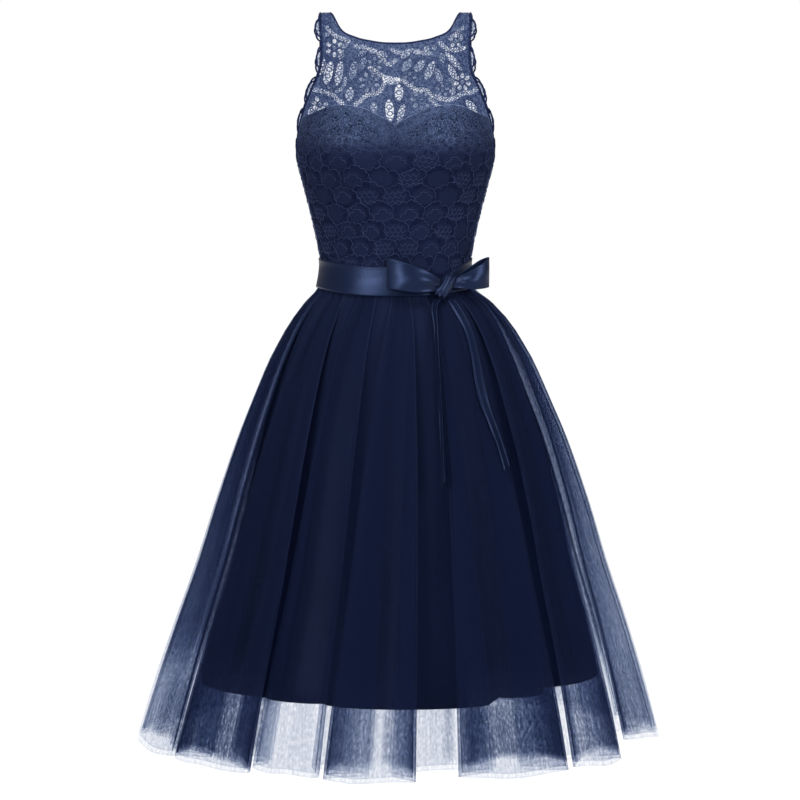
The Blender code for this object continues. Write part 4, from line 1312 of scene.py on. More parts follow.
    def scales(self, middle: Array, lean: float) -> list[Array]:
        """Draw three rows of small hanging scales.

        Args:
            middle: the middle of their cloud.
            lean: how far the rows slant.

        Returns:
            The rows.
        """
        rows = []
        for level in (-1, 0, 1):
            reach = self.scale_width * (1.5 if level else 2.0)
            t = np.linspace(0, round(2 * reach / self.scale_width), 33)
            place = -reach + self.scale_width * t
            drop = level * self.scale_drop + (lean - 1.2) * place * 0.12 + 2
            rows.append(middle + np.column_stack([place, drop - 4.2 * np.abs(np.sin(math.pi * t)) ** 0.75]))
        return rows

    def inside_clouds(self, place: Array) -> Array:
        """Tell which points lie within a cloud.

        Args:
            place: places round the body and heights.

        Returns:
            From 0 outside to 1 inside.
        """
        inside = np.zeros(len(place))
        rows, columns = self.cloud_count
        for row in range(rows):
            for column in range(-columns + row % 2, columns + 1, 2):
                away = (place - self.cloud_middle(row, column)) / (16.0, 11.0)
                inside = np.maximum(inside, 1 - smooth_step(0.9, 1.15, np.hypot(*away.T)))
        return inside


@dataclass(frozen=True)
class Piece:
    """A finished piece and the frame parts that it stands for; its slot, flat size, hold, supports and area
    are kept with it but nothing reads them.
    """

    made: Object
    slot: str
    replaces: tuple[str, ...] = ()
    flat: tuple[float, float] | None = None
    held: str = "hung"
    rests_on: tuple[str, ...] = ()
    area: float | None = None

    def hand_over(self) -> None:
        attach(self.made, BODY)
        if self.replaces:
            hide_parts(*self.replaces)
        LOG.info("%s: %d faces", self.made.name, len(self.made.data.polygons))


# ---------- bodice
@dataclass(frozen=True)
class Bodice:
    """The lace front and backs over their lining, with the cords that outline the lace."""

    cut: BodiceCut
    pattern: LacePattern
    wardrobe: Wardrobe
    front_half: int = 216
    yoke_rows: int = 220
    lined_rows: int = 223
    back_columns: int = 78
    back_rows: int = 81
    lining_out: float = -1.5
    # How much paler the lace is over the cups, partly its own tone and partly painted light on the bust's
    # upper slope, and how open it is at least in the back straps.
    cup_pale_and_painted_light: float = 0.74
    strap_clear: float = 0.72
    # Millimetres round the body for one radian, at the bust.
    round_scale: float = 130.0
    margin: float = 1.2
    # A run of cord needs more points than this.
    shortest: int = 3

    def front_sheet(self, name: str, chart: Array, material: Material, cup_pale_and_painted_light: float = 0.0) -> Object:
        """Make one sheet of the front's lace.

        Args:
            name: the sheet's name.
            chart: its grid of angle and reach.
            material: its finish.
            cup_pale_and_painted_light: how much paler its close cloth is over the cups, partly its own tone
                and partly painted light on the bust's upper slope.

        Returns:
            The sheet.
        """
        points = self.cut.form.points(chart)
        plane = points[..., [0, 2]].reshape(-1, 2)
        opened = self.pattern.openness(plane)
        uv = pairs(chart[..., 0].ravel() * self.round_scale, plane[:, 1])
        low = smooth_step(-196, -208, uv[:, 1])
        opened = opened * (1 - low) + self.ground(uv) * low
        fullest = np.exp(-(((np.abs(plane[:, 0]) - 68) / 44) ** 2))
        # Paler towards the cup tops and most at the bust's fullest point: partly the lace's own paler tone,
        # partly painted light on the bust's top-lit upper slope.
        pale = cup_pale_and_painted_light * smooth_step(-203, -172, uv[:, 1]) * (0.4 + 0.6 * fullest)
        return grid_object(name, points, material, uv, {"open": opened, "pale": pale})

    def ground(self, uv: Array) -> Array:
        """Tell how open the lace is on the lined parts, away from the yoke's figures."""
        x, z = uv.T
        drift = np.sin(x / 4.7 + np.sin(z / 9) * 2) * np.sin(z / 3.9 + np.sin(x / 8))
        return (1 - self.pattern.inside_clouds(uv)) * (0.35 + 0.3 * smooth_step(-0.3, 0.7, drift))

    def back_sheet(
        self, name: str, chart: Array, side: int, material: Material, clear: float = 0.0
    ) -> Object:
        """Make one sheet of a back's lace, or of its mirror image.

        Args:
            name: the sheet's name.
            chart: its grid of angle and reach, for the left back.
            side: 1 for the left and -1 for the right.
            material: its finish.
            clear: how open its lace is at the least.

        Returns:
            The sheet.
        """
        points = self.cut.form.points(chart) * (side, 1, 1)
        uv = pairs(chart[..., 0].ravel() * self.round_scale * side, points[..., 2].ravel())
        opened = clear + (1 - clear) * self.ground(uv)
        return grid_object(name, points, material, uv, {"open": opened}, flip=side > 0)

    def lining(self, name: str, chart: Array, side: int = 1, flip: bool = False) -> Object:
        """Make one lining sheet, just inside the lace."""
        points = self.cut.form.points(chart, self.lining_out) * (side, 1, 1)
        uv = pairs(chart[..., 0] * self.round_scale, points[..., 2])
        return grid_object(name, points, self.wardrobe.lining, uv, flip=flip)

    def kept(self, line: Array, at_back: bool) -> list[Array]:
        """Cut a line of angle and reach to the runs that lie inside its panel.

        Args:
            line: pairs of angle and reach, with the angle from the panel's own centre.
            at_back: whether the panel is the back.

        Returns:
            The runs.
        """
        form, cut = self.cut.form, self.cut
        away = np.abs(line[:, 0])
        reach = line[:, 1]
        side = cut.side_edge(form.waist_seam, 0, 120, at_back)
        limit = np.interp(reach, side[::-1, 1], side[::-1, 0])
        limit = (math.pi - limit if at_back else limit) - self.margin / self.round_scale
        waist = form.reach_at(form.seam_height(math.pi - away if at_back else away)) - 2.0
        if at_back:
            scoop = catmull_rom(form.chart_of(cut.scoop, True))
            inner = catmull_rom(form.chart_of(cut.strap_inner, True))
            top = np.interp(math.pi - away, scoop[::-1, 0], scoop[::-1, 1]) + self.margin
            strap = np.interp(reach, inner[::-1, 1], math.pi - inner[::-1, 0]) + self.margin / 110
            inside = (reach > top) | ((away > strap) & (reach < inner[0, 1]))
        else:
            neck = catmull_rom(form.chart_of(cut.neckline))
            inside = reach > np.interp(away, neck[:, 0], neck[:, 1]) + self.margin
        inside &= (away < limit) & (reach < waist)
        turns = np.flatnonzero(np.diff(np.concatenate([[False], inside, [False]]).astype(int)))
        return [line[start:end] for start, end in turns.reshape(-1, 2) if end - start > self.shortest]

    def draped(self, lines: list[Array], at_back: bool, out: float, flat: bool) -> list[Array]:
        """Lay flat lines of the pattern on the body form.

        Args:
            lines: pairs of place and height.
            at_back: whether they lie on the back.
            out: how far off the form they lie.
            flat: whether the place is a distance across, and not one round the body.

        Returns:
            The lines, in millimetres.
        """
        laid = []
        for line in lines:
            if flat:
                widest = np.interp(line[:, 1], self.cut.form.profile[::-1, 0], self.cut.form.profile[::-1, 1])
                if np.any(np.abs(line[:, 0]) > 0.97 * widest):
                    continue
                chart = self.cut.form.chart_of(line)
            else:
                chart = pairs(line[:, 0] / self.round_scale, self.cut.form.reach_at(line[:, 1]))
            for run in self.kept(chart, at_back):
                turned = pairs(math.pi - run[:, 0], run[:, 1]) if at_back else run
                laid.append(self.cut.form.points(turned, out))
        return laid

    def cords(self) -> list[Piece]:
        """Make the cords that outline the lace's figures.

        Returns:
            The cords of the front and of both backs.
        """
        cloud_cord = LineWork(Repeat.CORD, radius=0.32, sides=4)
        figure_cord = LineWork(Repeat.CORD, radius=0.36, sides=4)
        pattern = self.pattern
        figures = self.draped(pattern.cords(), False, 0.15, True)
        front = self.draped(pattern.clouds(), False, 0.25, False)
        made = [
            Piece(figure_cord.make("yoke_cords", figures, self.wardrobe.cord_dark), "lace"),
            Piece(cloud_cord.make("bodice_cords_front", front, self.wardrobe.cord), "lace"),
        ]
        back = self.draped(pattern.clouds(), True, 0.25, False)
        for word, side in (("left", 1), ("right", -1)):
            lines = [line for line in back if np.mean(line[:, 0]) * side > 0]
            sewn = cloud_cord.make(f"bodice_cords_back_{word}", lines, self.wardrobe.cord)
            made.append(Piece(sewn, "lace"))
        return made

    def build(self) -> list[Piece]:
        """Make the bodice.

        Returns:
            Its pieces.
        """
        cut, wear = self.cut, self.wardrobe
        upper = cut.front_upper(self.front_half, self.yoke_rows)
        lower = cut.front_lower(self.front_half, self.lined_rows)
        yoke = self.front_sheet("lace_yoke", upper, wear.sheer)
        front = self.front_sheet("lace_front_lined", lower, wear.lace, self.cup_pale_and_painted_light)
        front_lining = self.lining("bodice_lining_front", lower[::3, ::6])
        pieces = [
            Piece(yoke, "lace", ("lace_front",), (0.34, 0.20), "laid", ("lining_front",), 0.031),
            Piece(front, "lace", ("lace_front",), (0.46, 0.28), "laid", ("lining_front",), 0.088),
            Piece(front_lining, "lining", ("lining_front",), (0.46, 0.28), "laid", (), 0.086),
        ]
        back = cut.back_lower(self.back_columns, self.back_rows)
        strap = cut.back_strap(self.back_columns, self.back_rows)
        for word, side in (("left", 1), ("right", -1)):
            node = f"lace_back_{word}"
            lined = self.back_sheet(f"lace_back_lined_{word}", back, side, wear.lace)
            sheer = self.back_sheet(f"lace_strap_{word}", strap, side, wear.sheer, self.strap_clear)
            inner = self.lining(f"bodice_lining_back_{word}", back[::2, ::3], side, side > 0)
            under = (f"lining_back_{word}",)
            pieces += [
                Piece(lined, "lace", (node,), (0.22, 0.24), "laid", under, 0.0326),
                Piece(sheer, "lace", (node,), (0.07, 0.17), "hung", (), 0.0056),
                Piece(inner, "lining", under, (0.22, 0.24), "laid", (), 0.0317),
            ]
        return pieces + self.cords()


# ---------- edge trims
@dataclass(frozen=True)
class Edges:
    """The neck binding with its stitches, and the corded scallops along both armholes."""

    cut: BodiceCut
    wardrobe: Wardrobe
    edge_out: float = -0.6
    binding_radius: float = 1.25
    scallops: int = 10
    arch_cells: int = 5
    plain_cells: int = 2
    end_cells: int = 3
    band: float = 3.0
    arch: float = 10.0
    finer: int = 10

    def open_side(self, points: Array, normals: Array, towards: Array) -> Array:
        """Find the directions in the cloth's plane, square to an edge, towards its open side.

        Args:
            points: the edge's points.
            normals: the cloth's outward directions there.
            towards: points on the open side.

        Returns:
            One unit direction for each point.
        """
        side = unit(np.cross(unit(np.gradient(points, axis=0)), normals))
        return side * np.sign(np.sum(side * (towards - points), 1))[:, None]

    def neck(self) -> list[Piece]:
        """Make the binding along the neck edge and the stitches that hold it.

        Returns:
            The binding and its stitches.
        """
        form = self.cut.form
        chart = self.cut.neck_edge(72)
        points = mirrored(form.points(chart, self.edge_out))
        normals = mirrored(form.normal(chart[:, 0], chart[:, 1]))
        away = self.open_side(points, normals, points * (0.2, 0.2, 1) + (0, 0, 30))
        roll = points + away * (self.binding_radius + 0.2)
        binding = LineWork(Repeat.CORD, radius=self.binding_radius, sides=8)
        in_front = np.flatnonzero(roll[:, 1] < 0)
        first, last = in_front[[0, -1]]
        made = binding.make("neck_binding_roll", [roll[first : last + 1]], self.wardrobe.binding)
        behind = (roll[last:], roll[: first + 1])
        back = LineWork(Repeat.CORD, radius=0.9, sides=8)
        back_roll = back.make("neck_binding_back", behind, self.wardrobe.net_binding)
        seam = points - away * 0.9 + normals * 0.8
        stitches = LineWork(Repeat.STITCH, radius=0.24, length=2.2, spacing=3.2, sides=5)
        sewn = stitches.make("neck_stitches", [seam], self.wardrobe.cord)
        return [
            Piece(made, "binding", ("neck_binding",)), Piece(back_roll, "binding", ("neck_binding",)),
            Piece(sewn, "binding"),
        ]

    def armhole(self, side_sign: int, word: str) -> list[Piece]:
        """Make one armhole's edging: its band, its net and its cords.

        Args:
            side_sign: 1 for the left and -1 for the right.
            word: the side's name.

        Returns:
            The edging's pieces.
        """
        form = self.cut.form
        chart = self.cut.armhole_edge(160)
        edge = form.points(chart, self.edge_out)
        normals = form.normal(chart[:, 0], chart[:, 1])
        length = run_length(edge)
        pitch = self.arch_cells + self.plain_cells
        cells = self.scallops * pitch - self.plain_cells + 2 * self.end_cells
        at = np.linspace(0, length[-1], cells * self.finer + 1)
        path, normal = (
            np.stack([np.interp(at, length, axis) for axis in given.T], 1) for given in (edge, normals)
        )
        normal = unit(normal)
        away = self.open_side(path, normal, np.broadcast_to([135.0, 0.0, -105.0], path.shape))
        cell = np.clip(np.linspace(0, cells, len(at)) - self.end_cells, 0, cells - 2 * self.end_cells - 0.01)
        inside = np.clip(cell % pitch / self.arch_cells, 0, 1)
        swell = np.sin(math.pi * inside).clip(0, 1) ** 0.7
        frill = 0.9 * np.abs(np.sin(3 * math.pi * inside)) * (swell > 0.02)
        rim = self.band + (self.arch - self.band - 1.4) * swell + frill * np.minimum(swell * 3, 1)
        across = np.linspace(0, 1, 9)
        out = 0.2 + rim[:, None] * across[None]
        mirror = (side_sign, 1, 1)
        sheet = (path[:, None] + out[..., None] * away[:, None]) * mirror
        marks = {"open": smooth_step(self.band - 0.4, self.band + 0.6, out) * 0.66}
        uv = pairs(at[:, None], out)
        net = grid_object(f"armhole_net_{word}", sheet, self.wardrobe.sheer, uv, marks, flip=side_sign > 0)
        thick = LineWork(Repeat.CORD, radius=self.binding_radius, sides=6)
        rim_line = (path + (rim + 0.2)[:, None] * away) * mirror
        inner = (path + (self.band + 0.3 * np.sin(cell * 8))[:, None] * away + normal * 0.3) * mirror
        seam = (path + 0.3 * away + normal * 0.2) * mirror
        outer_cord = thick.make(f"armhole_scallops_{word}", [rim_line], self.wardrobe.binding)
        thin = LineWork(Repeat.CORD, radius=0.45, sides=5)
        inner_cord = thin.make(f"armhole_cords_{word}", [inner, seam], self.wardrobe.binding)
        node = (f"armhole_trim_{word}",)
        total = float(length[-1]) * MM
        return [
            Piece(net, "lace", node, (round(total, 3), 0.012), "hung", (f"lace_back_{word}",), 0.0031),
            Piece(outer_cord, "lace"),
            Piece(inner_cord, "lace"),
        ]

    def build(self) -> list[Piece]:
        """Make all edge trims.

        Returns:
            Their pieces.
        """
        return self.neck() + self.armhole(1, "left") + self.armhole(-1, "right")


# ---------- sash and bow
@dataclass(frozen=True)
class Sash:
    """The satin ribbon band round the waist seam."""

    form: BodyForm
    wardrobe: Wardrobe
    top: float = -349.5
    outs: tuple[float, float, float] = (1.5, 2.1, 4.7)
    columns: int = 420
    rows: int = 17
    wall: float = 0.8
    # Millimetres round the waist for one radian.
    round_scale: float = 109.0
    pull_angle: float = 0.62
    drawn_in: tuple[float, float, float] = (59.0, 30.0, 20.0)

    def creases(self, angle: Array, down: Array) -> Array:
        """Give the ribbon's slight creases: sharper where the bow pulls it together.

        Args:
            angle: angles round the body.
            down: shares of the ribbon's width, from its top edge.

        Returns:
            How far each point stands out, in millimetres.
        """
        away = np.abs((angle - self.pull_angle + math.pi) % (2 * math.pi) - math.pi)
        pulled = 0.55 * np.exp(-away / 0.35) * np.sin(9.5 * down + 3 * away)
        easy = 0.32 * np.sin(3.1 * down + 5 * np.sin(angle * 2.0 + 0.4)) * np.sin(angle * 4 + 1.0)
        return pulled + easy

    def build(self) -> list[Piece]:
        """Make the band.

        Returns:
            The piece.
        """
        angles = np.linspace(0, 2 * math.pi, self.columns + 1)
        down = np.linspace(1, 0, self.rows)[:, None]
        stand = catmull_rom([(o,) for o in self.outs], 20)[:, 0]
        stand = np.interp(down, np.linspace(0, 1, len(stand)), stand)
        height = self.top - RIBBON * down + self.form.seam_height(angles)[None] - self.form.waist_seam
        at, reach, depth = self.drawn_in
        drawn = np.exp(-(((self.round_scale * np.sin(angles) - at) / reach) ** 2)) * (np.cos(angles) > 0)
        height = height - depth * drawn[None] * (1 - down)
        around = np.broadcast_to(angles[None], height.shape)
        grid = self.form.points(pairs(around, self.form.reach_at(height)), stand + self.creases(around, down))
        uv = pairs(around * self.round_scale, -down * RIBBON)
        band = grid_object("sash_ribbon", grid, self.wardrobe.satin, uv)
        close_seam(band, 0.02)
        thicken(band, self.wall)
        flat = (0.62, RIBBON * MM)
        return [Piece(band, "satin", ("sash_band",), flat, "laid", ("bodice_lining_front",))]


@dataclass(frozen=True)
class LoopCut:
    """One bow loop: its side, its seat against the knot, its length and its heights."""

    word: str
    side: int
    seat: float
    length: float
    knot_height: float
    end_height: float


@dataclass(frozen=True)
class TailCut:
    """One tail: its rows of distance across, height and half width, and how it hangs."""

    word: str
    rows: Table
    slant: float
    clearance: float
    flat: tuple[float, float]


@dataclass(frozen=True)
class Bow:
    """The tied bow at the wearer's left: two loops, a knot and two folded tails."""

    form: BodyForm
    skirt: "SkirtForm"
    wardrobe: Wardrobe
    knot_across: float = 65.0
    knot_height: float = -386.0
    knot_size: tuple[float, float, float] = (20.0, 40.0, 12.0)
    knot_tilt: float = math.radians(25)
    knot_lean: float = math.radians(15)
    knot_out: float = 12.6
    leaves_body: float = 84.0
    slope: float = 0.45
    wall: float = 0.7
    loops: tuple[LoopCut, ...] = (
        LoopCut("right", -1, 0.0, 66.0, -385.5, -367.5),
        LoopCut("left", 1, -0.3, 51.0, -381.0, -368.0),
    )
    loop_rows: Table = (
        (0.00, 14.5, 7.5), (0.16, 19.0, 11.0), (0.42, 22.0, 16.5), (0.72, 20.0, 19.5), (0.93, 15.0, 21.0),
        (1.00, 11.0, 21.0), (0.93, 7.6, 21.0), (0.66, 6.8, 19.5), (0.30, 7.0, 14.0), (0.00, 9.5, 8.0),
    )
    tails: tuple[TailCut, ...] = (
        TailCut(
            "right",
            ((57, -404, 4.0), (52.5, -418, 3.4), (54, -440, 2.2), (56.5, -472, 1.6), (59.5, -515, 1.3),
             (61.5, -560, 1.2), (62.5, -608, 1.1), (63.5, -655, 1.0)),
            5.0, 3.2, (RIBBON * MM, 0.26),
        ),
        TailCut(
            "left",
            ((76, -405, 5.0), (88, -424, 5.5), (101, -450, 5.5), (110, -482, 6.0), (116, -513, 6.5),
             (123, -545, 5.8), (132, -572, 4.4), (142, -603, 2.6), (151, -634, 0.8)),
            7.0, 2.5, (RIBBON * MM, 0.26),
        ),
    )
    tail_leg: float = 21.0
    tail_depth_share: float = 0.45

    def over_waist(self, across: Array, height: Array, out: Array) -> Array:
        """Find points over the sash. Past the body's side they run straight on.

        Args:
            across: distances across.
            height: heights.
            out: how far they stand out.

        Returns:
            The points.
        """
        leave = np.minimum(across, self.leaves_body)
        edge = np.column_stack([leave.ravel(), np.maximum(height, -399.0).ravel()])
        points = self.form.points(self.form.chart_of(edge), out.ravel())
        past = (across - leave).ravel()
        made = np.column_stack([points[:, 0] + past, points[:, 1] + self.slope * past, height.ravel()])
        return made.reshape(*across.shape, 3)

    @cached_property
    def knot_turn(self) -> float:
        """The angle about +Z by which the knot faces away from the centre front."""
        chart = self.form.chart_of([(self.knot_across, self.knot_height)])[0]
        normal = self.form.normal(chart[0], chart[1])
        return math.atan2(normal[0], -normal[1])

    def loop(self, cut: LoopCut) -> Piece:
        """Make one loop: ribbon that runs out from the knot, turns and comes back behind.

        Args:
            cut: the loop's sizes.

        Returns:
            The piece.
        """
        rows = catmull_rom(self.loop_rows, 9)
        away, out, half = (rows[:, i][:, None] for i in range(3))
        widths = np.linspace(-1, 1, 25)[None]
        foreshortened = math.cos(self.knot_turn)
        start = self.knot_size[0] / 2 / math.cos(self.knot_tilt) * foreshortened + cut.seat
        middle = cut.knot_height + (cut.end_height - cut.knot_height) * away
        height = middle + widths * half
        slant = (height - self.knot_height) * math.tan(self.knot_tilt) * foreshortened * (1 - away)
        across = self.knot_across + cut.side * (start + away * cut.length) + slant
        near = (1 - away) ** 1.4
        behind = np.linspace(0, 1, len(rows))[:, None] > 0.52
        pleats = 1.1 * near * np.cos(widths * 4.5 + 0.6 * cut.side) * np.where(behind, -0.3, 1.0)
        cup = 2.4 * (1 - widths**2) * np.sin(math.pi * away) * np.where(behind, -0.25, 1.0)
        ripple = 0.5 * np.sin(widths * 4 + away * 7 + cut.side) * away * (1 - away) * 4
        depth = out + pleats + cup + ripple
        grid = self.over_waist(across + 0 * depth, height + 0 * depth, np.maximum(depth, 6.0))
        run = run_length(rows[:, :2] * (cut.length, 1))
        uv = pairs(run[:, None], widths * RIBBON / 2)
        made = grid_object(f"bow_ribbon_{cut.word}", grid, self.wardrobe.satin, uv, flip=cut.side < 0)
        thicken(made, self.wall)
        flat = (round(float(run[-1]) * MM + 0.01, 3), RIBBON * MM)
        area = round(flat[0] * flat[1] * 0.86, 6)
        return Piece(made, "satin", (f"bow_loop_{cut.word}",), flat, "folded", ("bow_knot_wrap",), area)

    @staticmethod
    def rounded(wave: Array, power: float) -> Array:
        """Raise a wave to a power with its sign kept."""
        return np.sign(wave) * np.abs(wave) ** power

    def knot(self) -> Piece:
        """Make the knot: ribbon wrapped once round, drawn in at its middle and creased.

        Returns:
            The piece.
        """
        wrap = np.linspace(0, 2 * math.pi, 97)
        side = np.radians(np.linspace(-90, 90, 41))
        wrap_grid, side_grid = np.meshgrid(wrap, side, indexing="ij")
        across, tall, depth = (size / 2 for size in self.knot_size)
        shrink = np.cos(side_grid).clip(0, 1) ** 0.42
        place = np.sin(side_grid)
        crease = 1 - 0.10 * np.abs(np.sin(4.4 * place + 0.5 * np.sin(wrap_grid) + 0.5)) ** 3
        crease -= 0.05 * np.sin(9 * place + 2 * np.sin(wrap_grid)) * (np.cos(wrap_grid) > 0)
        waisted = 0.80 + 0.20 * np.abs(np.sin(wrap_grid)) ** 2
        local = np.stack([
            across * place * waisted + 6 * self.rounded(np.sin(wrap_grid), 0.8) * shrink ** 0.6,
            -depth * self.rounded(np.cos(wrap_grid), 0.75) * shrink * crease,
            tall * self.rounded(np.sin(wrap_grid), 0.8) * shrink ** 0.6 * crease,
        ], -1)
        facing = Matrix.Rotation(self.knot_turn, 3, "Z")
        facing = facing @ Matrix.Rotation(-self.knot_lean, 3, "X") @ Matrix.Rotation(self.knot_tilt, 3, "Y")
        seat = (self.knot_across, self.knot_height, self.knot_out)
        middle = self.over_waist(*(np.array([size]) for size in seat))
        grid = local @ np.array(facing).T + middle[0]
        made = grid_object("bow_knot_wrap", grid, self.wardrobe.satin, pairs(wrap_grid * 16, place * 14))
        close_seam(made, 0.03)
        return Piece(made, "satin", ("bow_knot",))

    def tail(self, cut: TailCut) -> Piece:
        """Make one tail, folded lengthwise, with its ridge to the front.

        Args:
            cut: the tail's sizes.

        Returns:
            The piece.
        """
        rows = catmull_rom(cut.rows, 9)
        count = len(rows)
        side = np.linspace(-1, 1, 41)[None]
        across_row, height_row, half = (rows[:, i][:, None] for i in range(3))
        fold = np.abs(np.abs(side) - 0.5) * 2
        depth = np.sqrt(self.tail_leg**2 - half**2) * (1 - np.abs(side) ** 1.35 - 0.5 * (1 - fold**1.2))
        down = np.linspace(0, 1, count)[:, None]
        end = smooth_step(0.86, 1.0, down)
        across = across_row + side * half + 0.7 * np.sin(down * 9 + side)
        height = height_row + side * cut.slant * end + 0 * across
        stand = cut.clearance + depth * self.tail_depth_share + 0.5 * np.sin(down * 14 + 2 * side)
        grid = self.skirt.over_front(across, height, np.maximum(stand, cut.clearance))
        uv = pairs(run_length(rows[:, :2])[:, None], side * RIBBON / 2)
        made = grid_object(f"bow_tail_ribbon_{cut.word}", grid, self.wardrobe.satin, uv, flip=True)
        thicken(made, self.wall)
        area = round(cut.flat[0] * cut.flat[1] * 0.7, 6)
        return Piece(made, "satin", (f"bow_tail_{cut.word}",), cut.flat, "hung", ("bow_knot_wrap",), area)

    def build(self) -> list[Piece]:
        """Make the bow.

        Returns:
            Its pieces.
        """
        return [self.knot(), *(self.loop(cut) for cut in self.loops), *(self.tail(cut) for cut in self.tails)]


# ---------- skirt
@dataclass(frozen=True)
class SkirtForm:
    """Half sizes of the skirt at each drop below the waist seam.

    The rows hold drop, across, front, back, the middle's shift, fold depth and gather depth.
    """

    form: BodyForm
    rows: Table = (
        (0, 109.1, 85.3, 79.1, 0, 0, 0), (15, 109.8, 86.2, 80.2, 0, 0.3, 0.3),
        (22, 111.6, 88.2, 82.1, 0, 0.8, 0.6), (29, 117, 92, 87, 1, 2.2, 1.0),
        (46, 136, 106, 104, 4, 5, 1.3), (75, 159.5, 125, 124, 6, 10, 1.4),
        (104, 177.5, 139, 139, 6.8, 15, 1.2), (133, 193.5, 152, 152, 7.5, 19, 1.0),
        (191, 219, 173, 174, 8.3, 24, 0.4), (249, 243, 192.5, 194, 9.2, 30, 0),
        (336, 273.5, 218.5, 221, 9.4, 38, 0), (423, 301, 243.5, 246, 8.5, 46, 0),
        (510, 331.5, 270, 273, 7.4, 52, 0), (597, 360, 297, 300, 5.5, 58, 0),
        (677, 382.5, 318, 321, 4, 62, 0),
    )
    fields: tuple[str, ...] = ("drop", "across", "front", "back", "shift", "fold", "gather")
    sharpest: float = 0.45

    @cached_property
    def fine(self) -> Array:
        """The rows read finely."""
        return catmull_rom(self.rows, 12)

    def size(self, drop: Any) -> dict[str, Any]:
        """Return every size at a drop, by name."""
        return {name: np.interp(drop, self.fine[:, 0], self.fine[:, i]) for i, name in enumerate(self.fields)}

    def spread(self, drop: Any) -> Any:
        """Return how far a straight fold has turned from its waist angle to its hem angle."""
        waist, hem = self.rows[0][1], self.rows[-1][1]
        across = self.size(drop)["across"]
        return np.clip((across - waist) / (hem - waist) * hem / across, 0, 1)

    def even_angles(self, count: int, first: float) -> Array:
        """Part the waist evenly by length.

        Args:
            count: how many parts.
            first: the angle of the first one.

        Returns:
            Their angles.
        """
        fine = np.linspace(first, first + 2 * math.pi, 1441)
        size = self.size(0.0)
        length = run_length(pairs(size["across"] * np.sin(fine), size["front"] * np.cos(fine)))
        return np.interp(np.arange(count) / count * length[-1], length, fine)

    def plan(self, angle: Array, size: dict[str, Any], inward: Array) -> Array:
        """Find points of the skirt's plan, moved in towards the body."""
        facing = np.cos(angle)
        depth = np.where(facing > 0, size["front"], size["back"])
        return pairs(size["shift"] + (size["across"] - inward) * np.sin(angle), -(depth - inward) * facing)

    def inset(self, plan: Array, distance: float) -> Array:
        """Move a closed plan curve inwards, square to itself.

        Args:
            plan: its points.
            distance: how far it moves.

        Returns:
            The moved points.
        """
        edge = unit(np.roll(plan, -1, 0) - plan)
        inward = np.stack([-edge[:, 1], edge[:, 0]], 1)
        both = inward + np.roll(inward, 1, 0)
        stretch = 2 / np.maximum(np.sum(both * both, 1), self.sharpest)
        return plan + both * (distance * stretch)[:, None]

    def over_front(self, across: Array, height: Array, out: Array) -> Array:
        """Find points that stand out from the skirt's outermost folds in front.

        Args:
            across: distances across.
            height: heights.
            out: how far they stand out.

        Returns:
            The points.
        """
        angle = np.full(across.shape, 0.6)
        for _ in range(3):
            size = self.size(self.form.seam_height(angle) - height)
            angle = np.arcsin(np.clip((across - size["shift"]) / size["across"], -1, 1))
        plan = self.plan(angle, size, -out)
        return np.stack([across + out * np.sin(angle), plan[..., 1], height], -1)


